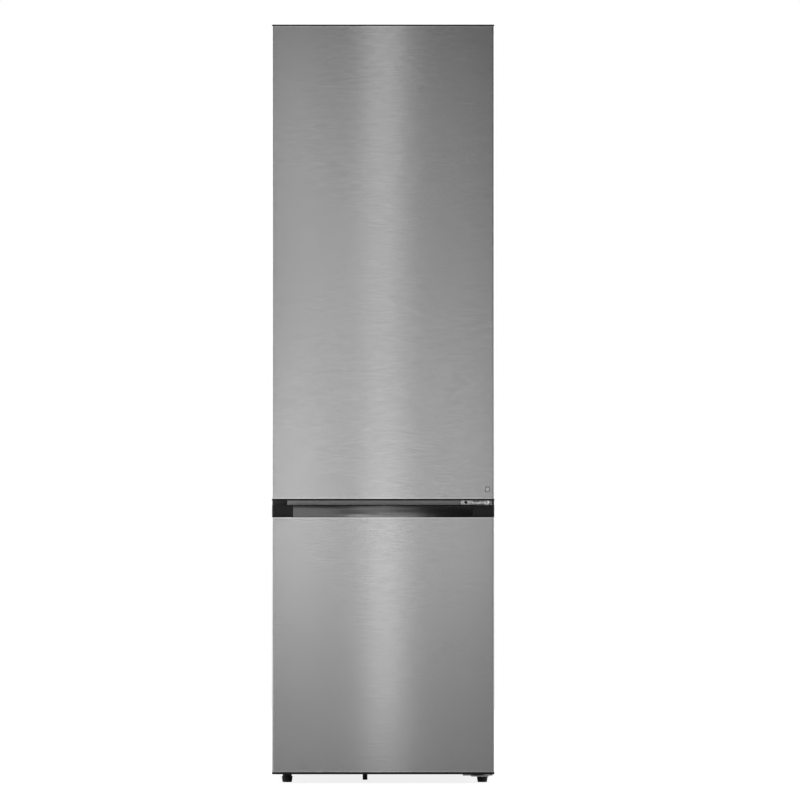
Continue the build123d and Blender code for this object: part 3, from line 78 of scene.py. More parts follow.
camera_data = bpy.data.cameras.new("camera")
camera_data.angle = 2 * math.atan(framed_width / 2 / camera_distance)
camera_data.clip_end = 10 * camera_distance
camera = bpy.data.objects.new("camera", camera_data)
camera.location = (camera_x, low.y - camera_distance, camera_z)
camera.rotation_euler = (math.radians(90), 0, 0)
bpy.context.collection.objects.link(camera)
bpy.context.scene.camera = camera
print(f"lens {camera_data.lens:.0f} mm")

# %% [markdown]
# ## Helpers for materials
#
# Colours in a photograph are measured on the screen's scale, while a shader works with light. One
# small function turns a screen tone into light, so that the numbers below can be read as tones from
# 0, black, to 1, white. Another starts a material with a Principled shader, which is the only
# shader that most finishes need.

# %% Helpers for materials
def light(red, green=None, blue=None):
    """Screen tone or colour, each 0 to 1, as linear light for a shader."""
    tones = (red, red if green is None else green, red if blue is None else blue)
    linear = [t / 12.92 if t <= 0.04045 else ((t + 0.055) / 1.055) ** 2.4 for t in tones]
    return (*linear, 1.0)


def finish_of(name, colour, roughness, **sockets):
    """New material with a Principled shader. Returns the material, its node tree and the shader."""
    material = bpy.data.materials.new(name)
    material.use_nodes = True
    tree = material.node_tree
    shader = tree.nodes["Principled BSDF"]
    shader.inputs["Base Color"].default_value = colour
    shader.inputs["Roughness"].default_value = roughness
    for socket, value in sockets.items():
        shader.inputs[socket.replace("_", " ")].default_value = value
    material.diffuse_color = colour
    return material, tree, shader


def dress(material, *names):
    """Give a material to every slot of the named CAD pieces."""
    for name in names:
        slots = nodes[name].material_slots
        if not slots:
            nodes[name].data.materials.append(material)
        for slot in slots:
            slot.material = material
    print(f"{material.name}: {len(names)} pieces")


# %% [markdown]
# ## Helpers for shader nodes
#
# A look is built from a handful of node kinds: a noise for the pattern, a map range that turns the
# pattern into a roughness, a mix that turns it into a colour, a bump that turns it into relief, and
# plain arithmetic. Each gets a function, so that a material below reads as a list of its effects.

# %% Helpers for shader nodes
def feed(tree, socket, value):
    """Link an output to a socket, or set the socket to a plain number or colour."""
    if isinstance(value, bpy.types.NodeSocket):
        tree.links.new(value, socket)
    else:
        socket.default_value = value


def noise(tree, scale, detail=2.0, roughness=0.5):
    """Noise texture node whose scale may be a number or an output."""
    node = tree.nodes.new("ShaderNodeTexNoise")
    feed(tree, node.inputs["Scale"], scale)
    node.inputs["Detail"].default_value = detail
    node.inputs["Roughness"].default_value = roughness
    return node


def maths(tree, operation, first, second=0.0):
    """Arithmetic on outputs or plain numbers."""
    node = tree.nodes.new("ShaderNodeMath")
    node.operation = operation
    feed(tree, node.inputs[0], first)
    feed(tree, node.inputs[1], second)
    return node.outputs["Value"]


def spread(tree, source, low_value, high_value, source_range=(0.0, 1.0)):
    """Map a mask, or a source of another range, onto a range of values."""
    node = tree.nodes.new("ShaderNodeMapRange")
    node.inputs["From Min"].default_value, node.inputs["From Max"].default_value = source_range
    node.inputs["To Min"].default_value = low_value
    node.inputs["To Max"].default_value = high_value
    tree.links.new(source, node.inputs["Value"])
    return node.outputs["Result"]


def mix(tree, mask, first, second, kind="RGBA"):
    """Go from a first colour to a second along a mask, or between numbers with kind FLOAT."""
    node = tree.nodes.new("ShaderNodeMix")
    node.data_type = kind
    tree.links.new(mask, node.inputs["Factor"])
    feed(tree, node.inputs["A"], first)
    feed(tree, node.inputs["B"], second)
    return node.outputs["Result"]


def bump(tree, shader, source, strength, distance):
    """Feed a height mask to the shader's normal."""
    node = tree.nodes.new("ShaderNodeBump")
    node.inputs["Strength"].default_value = strength
    node.inputs["Distance"].default_value = distance
    tree.links.new(source, node.inputs["Height"])
    tree.links.new(node.outputs["Normal"], shader.inputs["Normal"])


def new_group(name, inputs, outputs):
    """Empty node group with number inputs, given as name: default, and named outputs."""
    group = bpy.data.node_groups.new(name, "ShaderNodeTree")
    for socket, value in inputs.items():
        item = group.interface.new_socket(socket, in_out="INPUT", socket_type="NodeSocketFloat")
        item.default_value = value
    for socket in outputs:
        group.interface.new_socket(socket, in_out="OUTPUT", socket_type="NodeSocketFloat")
    print(f"node group {name}: {', '.join(inputs)} -> {', '.join(outputs)}")
    return group, group.nodes.new("NodeGroupInput"), group.nodes.new("NodeGroupOutput")


def coordinates(tree, kind="Object"):
    """Place on the surface, or its normal with kind Normal. Returns the vector and its parts."""
    place = tree.nodes.new("ShaderNodeTexCoord")
    parts = tree.nodes.new("ShaderNodeSeparateXYZ")
    tree.links.new(place.outputs[kind], parts.inputs["Vector"])
    return place.outputs[kind], parts.outputs


def place_group(tree, group, **values):
    """Put a node group into a material with its own values. Returns the group's outputs."""
    node = tree.nodes.new("ShaderNodeGroup")
    node.node_tree = group
    for socket, value in values.items():
        node.inputs[socket].default_value = value
    return node.outputs


# %% [markdown]
# ## Shared effects
#
# Four effects come back in many finishes: the fine grain of moulded plastic and powder coat, the
# straight scratches of brushed metal, the distance from the rim of a door or gasket, and dust that
# has settled. Each is a node group, so it is drawn once and placed wherever it is needed, with its
# own values.

# %% Fine grain
grain, grain_in, grain_out = new_group("fine_grain", {"Scale": 900.0}, ["Height", "Patches"])
grain_place, _ = coordinates(grain)
grain_fine = noise(grain, grain_in.outputs["Scale"], detail=3.0)
grain_slow = noise(grain, 3.0, detail=4.0)
for texture, socket in ((grain_fine, "Height"), (grain_slow, "Patches")):
    grain.links.new(grain_place, texture.inputs["Vector"])
    grain.links.new(texture.outputs["Fac"], grain_out.inputs[socket])

# %% [markdown]
# A noise that is stretched far along X makes scratches from side to side. The group puts out two:
# fine lines for relief and roughness, and broad streaks for tone.

# %% Brushing
brushing, brushing_in, brushing_out = new_group(
    "brushing", {"Along": 25.0, "Across": 900.0}, ["Lines", "Broad"]
)
brushing_place, _ = coordinates(brushing)
brushing_scale = brushing.nodes.new("ShaderNodeCombineXYZ")
for source, axis in (("Along", "X"), ("Across", "Y"), ("Across", "Z")):
    brushing.links.new(brushing_in.outputs[source], brushing_scale.inputs[axis])
brushing_stretch = brushing.nodes.new("ShaderNodeVectorMath")
brushing_stretch.operation = "MULTIPLY"
brushing.links.new(brushing_place, brushing_stretch.inputs[0])
brushing.links.new(brushing_scale.outputs["Vector"], brushing_stretch.inputs[1])
brushing_lines = noise(brushing, 1.0, detail=3.0, roughness=0.65)
brushing_broad = noise(brushing, 0.35, detail=2.0, roughness=0.5)
for texture, socket in ((brushing_lines, "Lines"), (brushing_broad, "Broad")):
    brushing.links.new(brushing_stretch.outputs["Vector"], texture.inputs["Vector"])
    brushing.links.new(texture.outputs["Fac"], brushing_out.inputs[socket])

# %% [markdown]
# The rim group knows a rectangle in the plane of the doors, from its low and high edge and its half
# width. Its mask is 1 on the rectangle's outline and falls to 0 within the given reach.

# %% Rim
rim, rim_in, rim_out = new_group(
    "rim", {"Low": 0.0, "High": 1.0, "Side": 0.3, "Reach": 0.003}, ["Edge"]
)
_, rim_parts = coordinates(rim)
from_low = maths(rim, "SUBTRACT", rim_parts["Z"], rim_in.outputs["Low"])
from_high = maths(rim, "SUBTRACT", rim_in.outputs["High"], rim_parts["Z"])
aside = maths(rim, "ABSOLUTE", rim_parts["X"])
from_side = maths(rim, "SUBTRACT", rim_in.outputs["Side"], aside)
nearest = maths(rim, "MINIMUM", maths(rim, "MINIMUM", from_low, from_high), from_side)
share_of_reach = maths(rim, "DIVIDE", nearest, rim_in.outputs["Reach"])
edge_mask = maths(rim, "MAXIMUM", maths(rim, "SUBTRACT", 1.0, share_of_reach), 0.0)
rim.links.new(edge_mask, rim_out.inputs["Edge"])

# %% [markdown]
# Dust settles on what looks upward, in specks. Faces that slope by more than 60 degrees stay clean.

# %% Dust
dust, dust_in, dust_out = new_group("dust", {"Amount": 0.5}, ["Cover"])
dust_place, _ = coordinates(dust)
_, facing = coordinates(dust, "Normal")
upward = spread(dust, facing["Z"], -1.0, 1.0)
specks = noise(dust, 55.0, detail=6.0, roughness=0.7)
dust.links.new(dust_place, specks.inputs["Vector"])
settled = maths(dust, "MAXIMUM", maths(dust, "MULTIPLY", upward, specks.outputs["Fac"]), 0.0)
cover = maths(dust, "MULTIPLY", settled, dust_in.outputs["Amount"])
dust.links.new(cover, dust_out.inputs["Cover"])

# %% [markdown]
# ## Brushed steel doors
#
# The door skins are stainless steel, brushed from side to side. Brushing leaves grooves a few
# hundredths of a millimetre apart, which spread each reflection up and down. The shader's
# anisotropy does that spreading, and the brushing group draws the grooves that the eye can still
# see. Where the sheet is folded at its outline, the rim group paints a narrow highlight into the
# steel's colour, in place of the light that the rounded fold catches.

# %% Brushed steel doors
def brushed_steel(name, bottom, top):
    """Steel brushed along X with a painted highlight on the sheet's folded edges between two
    heights.
    """
    steel, tree, shader = finish_of(
        name, light(0.72), 0.26, Metallic=1.0, Anisotropic=0.9, Anisotropic_Rotation=0.25
    )
    streaks = place_group(tree, brushing, Along=95.0, Across=1000.0)
    painted_light_outline = place_group(tree, rim, Low=bottom, High=top, Side=width / 2, Reach=0.0035)
    plain = mix(tree, streaks["Broad"], light(0.675), light(0.772))
    # Near the outline the colour turns to a pale tone: a painted highlight for the rounded fold.
    tree.links.new(mix(tree, painted_light_outline["Edge"], plain, light(0.86)), shader.inputs["Base Color"])
    tree.links.new(spread(tree, streaks["Lines"], 0.225, 0.295), shader.inputs["Roughness"])
    bump(tree, shader, streaks["Lines"], strength=0.06, distance=0.0002)
    return steel


for door in ("upper_door_skin", "lower_door_skin"):
    lower_corner, upper_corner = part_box(door)
    dress(brushed_steel(f"steel_{door}", lower_corner[2], upper_corner[2]), door)

# %% [markdown]
# ## Painted, moulded and lined surfaces
#
# Powder coat, moulded plastic and vacuum-formed lining differ in colour, gloss and the size of
# their grain, and in nothing else. So one function makes them all, from a colour, a roughness, the
# grain's scale in features per metre and its relief in metres. The cabinet and the pieces of the
# compressor bay also carry dust.

# %% Painted, moulded and lined surfaces
dust_colour = light(0.62, 0.60, 0.57)


def grained(name, colour, roughness, scale, relief, variation=0.06, dusty=0.0, **sockets):
    """Material with a fine grain whose tone varies slowly by the given part, dusty if asked."""
    material, tree, shader = finish_of(name, colour, roughness, **sockets)
    texture = place_group(tree, grain, Scale=scale)
    dark = (*(c * (1 - variation) for c in colour[:3]), 1.0)
    pale = (*(min(1.0, c * (1 + variation)) for c in colour[:3]), 1.0)
    tone = mix(tree, texture["Patches"], dark, pale)
    if dusty:
        tone = mix(tree, place_group(tree, dust, Amount=dusty)["Cover"], tone, dust_colour)
    tree.links.new(tone, shader.inputs["Base Color"])
    shade = spread(tree, texture["Patches"], roughness * 0.85, min(1.0, roughness * 1.15))
    tree.links.new(shade, shader.inputs["Roughness"])
    bump(tree, shader, texture["Height"], strength=0.3, distance=relief)
    return material


casing_paint = grained(
    "casing_paint", light(0.20, 0.20, 0.205), 0.42, scale=1400.0, relief=0.00006,
    variation=0.08, dusty=0.25,
)
black_trim = grained(
    "black_trim", light(0.06), 0.45, scale=2200.0, relief=0.00003, Specular_IOR_Level=0.35
)
grey_trim = grained("grey_trim", light(0.90), 0.40, scale=2200.0, relief=0.00003)
white_lining = grained(
    "white_lining", light(0.93, 0.935, 0.94), 0.28, scale=700.0, relief=0.00002, variation=0.02
)
dark_rubber = grained("dark_rubber", light(0.13), 0.75, scale=2500.0, relief=0.00004)
nylon = grained("nylon", light(0.80, 0.80, 0.77), 0.40, scale=1800.0, relief=0.00003)
pump_paint = grained(
    "pump_paint", light(0.09), 0.22, scale=600.0, relief=0.00004, variation=0.10, dusty=0.6
)
bay_plastic = grained(
    "bay_plastic", light(0.10), 0.50, scale=1800.0, relief=0.00004, variation=0.08, dusty=0.5
)
shelf_trim = grained(
    "shelf_trim", light(0.74, 0.75, 0.76), 0.24, scale=900.0, relief=0.00002, variation=0.03,
    Metallic=0.6,
)
foam = grained(
    "foam", light(0.85, 0.78, 0.56), 0.85, scale=500.0, relief=0.0006, variation=0.12
)

dress(casing_paint, "cabinet_shell")
dress(
    black_trim, "upper_door_top_cap", "upper_door_bottom_cap", "lower_door_bottom_cap",
    "lower_door_grip", "top_hinge_cover", "rear_spacers", "fan_motor", "drain_tube",
)
dress(bay_plastic, "terminal_box", "drip_tray", "compressor_cover")
dress(shelf_trim, "shelf_trims")
dress(grey_trim, "mullion_trim")
dress(
    white_lining, "fridge_liner", "freezer_liner", "upper_door_liner", "lower_door_liner",
    "evaporator_cover", "air_duct", "control_panel",
)
dress(dark_rubber, "compressor_grommets", "front_foot_left", "front_foot_right")
dress(
    nylon, "rear_roller_left", "rear_roller_right", "evaporator_fan", "upper_door_bushes",
    "lower_door_bushes",
)
dress(pump_paint, "compressor")
dress(foam, "cabinet_foam", "upper_door_foam", "lower_door_foam")

# %% [markdown]
# ## Door gaskets
#
# A gasket is a soft profile with a magnet inside and folds along its length. The folds follow the
# door's outline, so the rim group gives the distance from the outline and a sine of it gives the
# ridges. That saves modelling a profile that only shows when a door stands open. The same sine
# also paints shade into the rubber's colour: darker in the folds, lighter on the ridges.

# %% Door gaskets
gasket_reach = 0.018
ridge_phase = 25.0

for gasket in ("upper_door_gasket", "lower_door_gasket"):
    corner, far_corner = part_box(gasket)
    rubber, tree, shader = finish_of(f"rubber_{gasket}", light(0.50), 0.62)
    painted_light_outline = place_group(
        tree, rim, Low=corner[2], High=far_corner[2], Side=far_corner[0], Reach=gasket_reach
    )
    ridges = maths(tree, "SINE", maths(tree, "MULTIPLY", painted_light_outline["Edge"], ridge_phase))
    texture = place_group(tree, grain, Scale=2500.0)
    heights = maths(tree, "ADD", ridges, maths(tree, "MULTIPLY", texture["Height"], 0.3))
    # Painted shade: the colour is darker in the folds and lighter on the ridges.
    painted_fold_shade = spread(tree, ridges, 0.0, 1.0)
    tree.links.new(mix(tree, painted_fold_shade, light(0.42), light(0.52)), shader.inputs["Base Color"])
    tree.links.new(spread(tree, texture["Patches"], 0.5, 0.75), shader.inputs["Roughness"])
    bump(tree, shader, heights, strength=0.5, distance=0.0006)
    dress(rubber, gasket)

# %% [markdown]
# ## Bare metals
#
# Zinc-coated steel shows a soft patchwork of crystals, copper tube is drawn and slightly stained,
# and the cooling coil is bare aluminium. A Voronoi texture gives the crystals, so many per metre.

# %% Bare metals
def bare_metal(name, dark, pale, roughness, crystals):
    """Metal whose tone changes from crystal to crystal."""
    material, tree, shader = finish_of(name, pale, roughness, Metallic=1.0)
    place, _ = coordinates(tree)
    cells = tree.nodes.new("ShaderNodeTexVoronoi")
    cells.inputs["Scale"].default_value = crystals
    tree.links.new(place, cells.inputs["Vector"])
    mask = tree.nodes.new("ShaderNodeSeparateColor")
    tree.links.new(cells.outputs["Color"], mask.inputs["Color"])
    tree.links.new(mix(tree, mask.outputs["Red"], dark, pale), shader.inputs["Base Color"])
    shade = spread(tree, mask.outputs["Green"], roughness * 0.8, roughness * 1.25)
    tree.links.new(shade, shader.inputs["Roughness"])
    return material


zinc_steel = bare_metal(
    "zinc_steel", light(0.66, 0.67, 0.68), light(0.76, 0.77, 0.78), 0.38, crystals=120.0
)
copper = bare_metal(
    "copper", light(0.72, 0.47, 0.36), light(0.86, 0.60, 0.47), 0.30, crystals=60.0
)
aluminium = bare_metal(
    "aluminium", light(0.80, 0.81, 0.82), light(0.88, 0.89, 0.90), 0.35, crystals=200.0
)
hinge_steel = bare_metal(
    "hinge_steel", light(0.74, 0.74, 0.75), light(0.92, 0.92, 0.93), 0.30, crystals=260.0
)
black_zinc = bare_metal("black_zinc", light(0.14), light(0.24), 0.34, crystals=500.0)

dress(zinc_steel, "base_plate", "cabinet_back")
dress(hinge_steel, "top_hinge", "middle_hinge", "bottom_hinge")
dress(black_zinc, "hinge_screws")
dress(copper, "refrigerant_pipes")
dress(aluminium, "evaporator")

# %% [markdown]
# ## Clear pieces
#
# Shelves are toughened glass and the drawers and bins are clear moulded plastic. Both let light
# through, so their shader's transmission is full, and only the tint and a little surface texture
# set them apart. Behind several walls of clear plastic a rendered interior turns dark sooner than a
# real one, so part of the light passes straight through them by Alpha. The lamp's cover is milky
# plastic.

# %% Clear pieces
def clear(name, colour, roughness, ior, waviness, alpha):
    """Transparent material with a slightly wavy surface, of which alpha is the part that shows."""
    material, tree, shader = finish_of(
        name, colour, roughness, IOR=ior, Transmission_Weight=1.0, Alpha=alpha
    )
    texture = place_group(tree, grain, Scale=60.0)
    shade = spread(tree, texture["Patches"], roughness * 0.5, roughness * 1.6)
    tree.links.new(shade, shader.inputs["Roughness"])
    bump(tree, shader, texture["Height"], strength=0.2, distance=waviness)
    return material


shelf_glass = clear(
    "shelf_glass", light(0.94, 0.99, 0.97), 0.02, ior=1.50, waviness=0.00001, alpha=0.50
)
clear_plastic = clear(
    "clear_plastic", light(0.96, 0.98, 0.99), 0.06, ior=1.46, waviness=0.00005, alpha=0.55
)
lamp_cover = grained(
    "lamp_cover", light(0.96, 0.96, 0.94), 0.35, scale=900.0, relief=0.00002, variation=0.02,
    Emission_Color=light(0.98, 0.98, 0.95), Emission_Strength=1.5,
)
dress(shelf_glass, "fridge_shelves", "freezer_shelves", "crisper_cover")
dress(
    clear_plastic, "crisper_drawer", "fresh_drawer", "freezer_drawer_bottom",
    "freezer_drawer_middle", "freezer_drawer_top", "door_bin_1", "door_bin_2", "door_bin_3",
    "door_bin_4",
)
dress(lamp_cover, "led_light")

# %% [markdown]
# ## Helpers for modelling
#
# A new piece starts as a cube or a rod in edit mode. Its vertices, edges or faces are picked by a
# test and edited, and then it gets smooth shading, a finish, and the body that it moves with.

# %% Helpers for modelling
near = 0.0001


def make_active(piece):
    """Select one piece alone and make it the active one."""
    bpy.ops.object.select_all(action="DESELECT")
    piece.select_set(True)
    bpy.context.view_layer.objects.active = piece


def start_editing(name):
    """Name the piece just added, apply its place and size, and enter edit mode."""
    piece = bpy.context.object
    piece.name = name
    bpy.ops.object.transform_apply(location=True, rotation=True, scale=True)
    bpy.ops.object.mode_set(mode="EDIT")
    bpy.ops.mesh.select_all(action="DESELECT")
    return piece


def start_cube(name, low_corner, high_corner):
    """New box between two corners, in edit mode with nothing selected."""
    bpy.ops.object.select_all(action="DESELECT")
    middle = [(a + b) / 2 for a, b in zip(low_corner, high_corner)]
    size = [b - a for a, b in zip(low_corner, high_corner)]
    bpy.ops.mesh.primitive_cube_add(size=1.0, location=middle, scale=size)
    return start_editing(name)


def start_rod(name, centre, radius, length, axis="Z", sides=24):
    """New solid rod along Z or Y, in edit mode with nothing selected."""
    bpy.ops.object.select_all(action="DESELECT")
    turn = (math.radians(90), 0, 0) if axis == "Y" else (0, 0, 0)
    bpy.ops.mesh.primitive_cylinder_add(
        vertices=sides, radius=radius, depth=length, location=centre, rotation=turn
    )
    return start_editing(name)


def pick(piece, kind, test):
    """Select the vertices, edges or faces for which the test holds. Stays in edit mode."""
    bpy.ops.object.mode_set(mode="EDIT")
    bpy.ops.mesh.select_all(action="DESELECT")
    bpy.ops.mesh.select_mode(type=kind)
    bpy.ops.object.mode_set(mode="OBJECT")
    mesh = piece.data
    if kind == "VERT":
        for vertex in mesh.vertices:
            vertex.select = test(vertex.co)
    elif kind == "EDGE":
        for edge in mesh.edges:
            edge.select = all(test(mesh.vertices[i].co) for i in edge.vertices)
    else:
        for face in mesh.polygons:
            face.select = test(face)
    bpy.ops.object.mode_set(mode="EDIT")


def done(piece, material, body, flats=True):
    """Leave edit mode, smooth the corners, keep the flats flat if asked, give finish and body."""
    bpy.ops.mesh.select_all(action="SELECT")
    bpy.ops.mesh.normals_make_consistent(inside=False)
    bpy.ops.object.mode_set(mode="OBJECT")
    make_active(piece)
    bpy.ops.object.shade_smooth_by_angle(angle=math.radians(35))
    if flats:
        bpy.ops.object.modifier_add(type="WEIGHTED_NORMAL")
        piece.modifiers[-1].keep_sharp = True
        bpy.ops.object.modifier_apply(modifier=piece.modifiers[-1].name)
    piece.data.materials.clear()
    piece.data.materials.append(material)
    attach(piece, body)
    print(f"{piece.name}: {len(piece.data.polygons)} faces on {body}")


def copy_to(piece, name, offset, body):
    """Copy a finished piece with its own mesh, and move the copy's mesh."""
    make_active(piece)
    bpy.ops.object.duplicate(linked=False)
    twin = bpy.context.object
    twin.name = name
    twin.location = offset
    bpy.ops.object.transform_apply(location=True, rotation=False, scale=False)
    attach(twin, body)


# %% [markdown]
# ## Glossy face of the grip
#
# Above the steel of the lower door runs a pocket for the fingers, between two satin end pieces.
# Its wall carries a glossy black face that leans back towards its top, so that its foot makes a lip
# for the fingers. The face starts as a thin cube, leans by moving its lower front edge, and gets
# rounded ends. Its shading stays smooth round those ends, which makes the long face read as
# slightly crowned: it gathers the studio into one soft light in its middle.

# %% Glossy face of the grip
black_gloss, tree, shader = finish_of(
    "black_gloss", light(0.05), 0.19, IOR=1.8, Specular_IOR_Level=1.0
)
streaks = place_group(tree, brushing, Along=20.0, Across=700.0)
tree.links.new(mix(tree, streaks["Broad"], light(0.04), light(0.065)), shader.inputs["Base Color"])
tree.links.new(spread(tree, streaks["Lines"], 0.15, 0.24), shader.inputs["Roughness"])
bump(tree, shader, streaks["Lines"], strength=0.05, distance=0.0001)

badge_raise = 0.0008  # the square mark in front of the steel
wall_setback = 0.021  # the pocket's wall behind the steel
face_thickness = 0.0005
face_half = 0.2412
face_bottom, face_top = 0.7124, 0.7446
face_lean = (face_top - face_bottom) * math.tan(math.radians(10))
wall_y = low.y + badge_raise + wall_setback

face = start_cube(
    "grip_face", (-face_half, wall_y - face_thickness, face_bottom), (face_half, wall_y, face_top)
)
pick(face, "VERT", lambda co: co.z < face_bottom + near and co.y < wall_y - near)
bpy.ops.transform.translate(value=(0, -face_lean, 0))
pick(face, "EDGE", lambda co: abs(co.x) > face_half - near and co.y < wall_y - near)
bpy.ops.mesh.bevel(offset=0.0004, segments=2, affect="EDGES")
done(face, black_gloss, "lower_door", flats=False)

# %% [markdown]
# ## Square mark
#
# The square mark on the upper door is a bright plate in a darker frame. The larger of the sideways
# and upright distances from its middle draws a square, which gives the colour and a small step.

# %% Square mark
plate_half = 0.0048

badge_low, badge_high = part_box("badge")
badge_middle = [(a + b) / 2 for a, b in zip(badge_low, badge_high)]
badge_metal, tree, shader = finish_of("badge_metal", light(0.70), 0.30, Metallic=1.0)
_, badge_parts = coordinates(tree)
across = maths(tree, "ABSOLUTE", maths(tree, "SUBTRACT", badge_parts["X"], badge_middle[0]))
upright = maths(tree, "ABSOLUTE", maths(tree, "SUBTRACT", badge_parts["Z"], badge_middle[2]))
inside = maths(tree, "LESS_THAN", maths(tree, "MAXIMUM", across, upright), plate_half)
tree.links.new(mix(tree, inside, light(0.48), light(0.84)), shader.inputs["Base Color"])
texture = place_group(tree, grain, Scale=1500.0)
tree.links.new(spread(tree, texture["Height"], 0.25, 0.45), shader.inputs["Roughness"])
bump(tree, shader, inside, strength=0.4, distance=0.0001)
dress(badge_metal, "badge")

# %% [markdown]
# ## Hinge stop
#
# A small nylon peg hangs from the middle hinge's arm and stands just clear of the lower door, so
# that the arm can't scratch it. Its foot is rounded with a bevel.

# %% Hinge stop
stop_x, stop_y = 0.2535, -0.3060
stop_radius = 0.0026
stop_clearance = 0.0004  # above the lower door's grip
arm_drop = 0.0075  # the arm's underside below the upper door

gap_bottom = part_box("lower_door_grip")[1][2]
arm_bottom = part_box("upper_door_bottom_cap")[0][2] - arm_drop
stop_centre = (stop_x, stop_y, (gap_bottom + arm_bottom) / 2 + stop_clearance / 2)
stop = start_rod("hinge_stop", stop_centre, stop_radius, arm_bottom - gap_bottom - stop_clearance)
pick(stop, "FACE", lambda face: face.normal.z < -0.9)
bpy.ops.mesh.bevel(offset=0.0007, segments=3, affect="EDGES")
done(stop, nylon, "cabinet")

# %% [markdown]
# ## Lights of the control panel
#
# The control panel has a small light for each touch field: a shallow dome of milky plastic under
# the panel. One is modelled as a short rod with a rounded foot, and the others are copies.

# %% Lights of the control panel
light_count = 5
light_spacing = 0.04
light_radius = 0.0016
light_setback = 0.0243  # behind the panel's front

panel_low, panel_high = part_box("control_panel")
light_milk = grained(
    "panel_light", light(0.90, 0.93, 0.90), 0.25, scale=1200.0, relief=0.00001, variation=0.02,
    Emission_Color=light(0.80, 1.0, 0.86), Emission_Strength=1.2,
)
first_light = (-2 * light_spacing, panel_low[1] + light_setback, panel_low[2] + light_radius / 2)
dome = start_rod("panel_light_1", first_light, light_radius, light_radius)
pick(dome, "FACE", lambda face: face.normal.z < -0.9)
bpy.ops.mesh.bevel(offset=0.0006, segments=4, affect="EDGES")
done(dome, light_milk, "cabinet")
for number in range(2, light_count + 1):
    offset = (light_spacing * (number - 1), 0, 0)
    copy_to(dome, f"panel_light_{number}", offset, "cabinet")
print(f"{light_count} lights of the control panel")

# %% [markdown]
# ## Screws of the rear cover
#
# The slotted cover over the compressor is held by pan-head screws with a cross recess. One screw
# is modelled: a rod with a rounded head, from which two thin crossed cubes are cut with a Boolean
# modifier. The others are copies.

# %% Screws of the rear cover
screw_inset = 0.011  # from the cover's edges
head_radius, head_height = 0.0042, 0.0024
head_out = 0.0010  # the head's middle in front of the cover
recess_out = 0.0022  # the recess's middle in front of the cover
recess_length, recess_depth, recess_width = 0.0046, 0.0020, 0.0010

cover_low, cover_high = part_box("compressor_cover")
screw_x, screw_y, screw_z = cover_low[0] + screw_inset, cover_high[1], cover_low[2] + screw_inset
screw = start_rod(
    "cover_screw_1", (screw_x, screw_y + head_out, screw_z), head_radius, head_height,
    axis="Y", sides=28,
)
pick(screw, "FACE", lambda face: face.normal.y > 0.9)
bpy.ops.mesh.bevel(offset=0.0010, segments=4, affect="EDGES")
bpy.ops.object.mode_set(mode="OBJECT")
recess_middle = Vector((screw_x, screw_y + recess_out, screw_z))
for recess_size in (
    (recess_length, recess_depth, recess_width), (recess_width, recess_depth, recess_length)
):
    half_size = Vector(recess_size) / 2
    cutter = start_cube("screw_cutter", recess_middle - half_size, recess_middle + half_size)
    bpy.ops.object.mode_set(mode="OBJECT")
    bpy.context.view_layer.objects.active = screw
    cut = screw.modifiers.new("cross", "BOOLEAN")
    cut.object = cutter
    cut.operation = "DIFFERENCE"
    bpy.ops.object.modifier_apply(modifier=cut.name)
    bpy.data.objects.remove(cutter)
make_active(screw)
bpy.ops.object.mode_set(mode="EDIT")
done(screw, black_zinc, "cabinet")

span_x = cover_high[0] - cover_low[0] - 2 * screw_inset
span_z = cover_high[2] - cover_low[2] - 2 * screw_inset
other_places = ((0.5, 0), (1, 0), (0, 0.5), (1, 0.5), (0, 1), (0.5, 1), (1, 1))
for number, (part_x, part_z) in enumerate(other_places, start=2):
    offset = (span_x * part_x, 0, span_z * part_z)
    copy_to(screw, f"cover_screw_{number}", offset, "cabinet")
print(f"{1 + len(other_places)} cover screws")

# %% [markdown]
# ## Floor and surroundings
#
# The photograph's background is plain white. The floor is white too and keeps a soft shadow: it
# gives off light of its own for what the camera sees, and for everything else it is a pale floor.

# %% Floor
floor_size = 9.0
floor_glow = 0.85

bpy.ops.object.select_all(action="DESELECT")
bpy.ops.mesh.primitive_plane_add(size=floor_size, location=(0, 0, 0))
floor = bpy.context.object
floor.name = "floor"
floor_material, tree, shader = finish_of("floor_white", light(0.62), 0.9)
path = tree.nodes.new("ShaderNodeLightPath")
glow = tree.nodes.new("ShaderNodeEmission")
both = tree.nodes.new("ShaderNodeAddShader")
glow_share = maths(tree, "MULTIPLY", path.outputs["Is Camera Ray"], floor_glow)
tree.links.new(glow_share, glow.inputs["Strength"])
tree.links.new(shader.outputs["BSDF"], both.inputs[0])
tree.links.new(glow.outputs["Emission"], both.inputs[1])
tree.links.new(both.outputs["Shader"], tree.nodes["Material Output"].inputs["Surface"])
floor.data.materials.append(floor_material)
print(f"floor {floor_size:.0f} m wide")

# %% [markdown]
# The surroundings are plain white for what the camera sees directly and through glass, and dimmer
# as a source of light, so that the object isn't flooded. In reflections, the studio is dark in
# front of the doors and white behind them.

# %% Surroundings
soft_light = 0.62
dark_front, white_rear = -0.9, 0.2  # directions along Y between which reflections turn white

world = bpy.data.worlds.new("studio")
bpy.context.scene.world = world
world.use_nodes = True
tree = world.node_tree
background = tree.nodes["Background"]
path = tree.nodes.new("ShaderNodeLightPath")
seen = maths(
    tree, "MAXIMUM", path.outputs["Is Camera Ray"], path.outputs["Is Transmission Ray"]
)
_, direction = coordinates(tree, "Generated")
front = spread(tree, direction["Y"], 0.0, 1.0, source_range=(dark_front, white_rear))
unseen = mix(tree, path.outputs["Is Glossy Ray"], soft_light, front, kind="FLOAT")
strength = mix(tree, seen, unseen, 1.0, kind="FLOAT")
tree.links.new(strength, background.inputs["Strength"])
background.inputs["Color"].default_value = (1, 1, 1, 1)
bpy.context.scene.view_settings.view_transform = "Standard"
print("surroundings:", world.name)

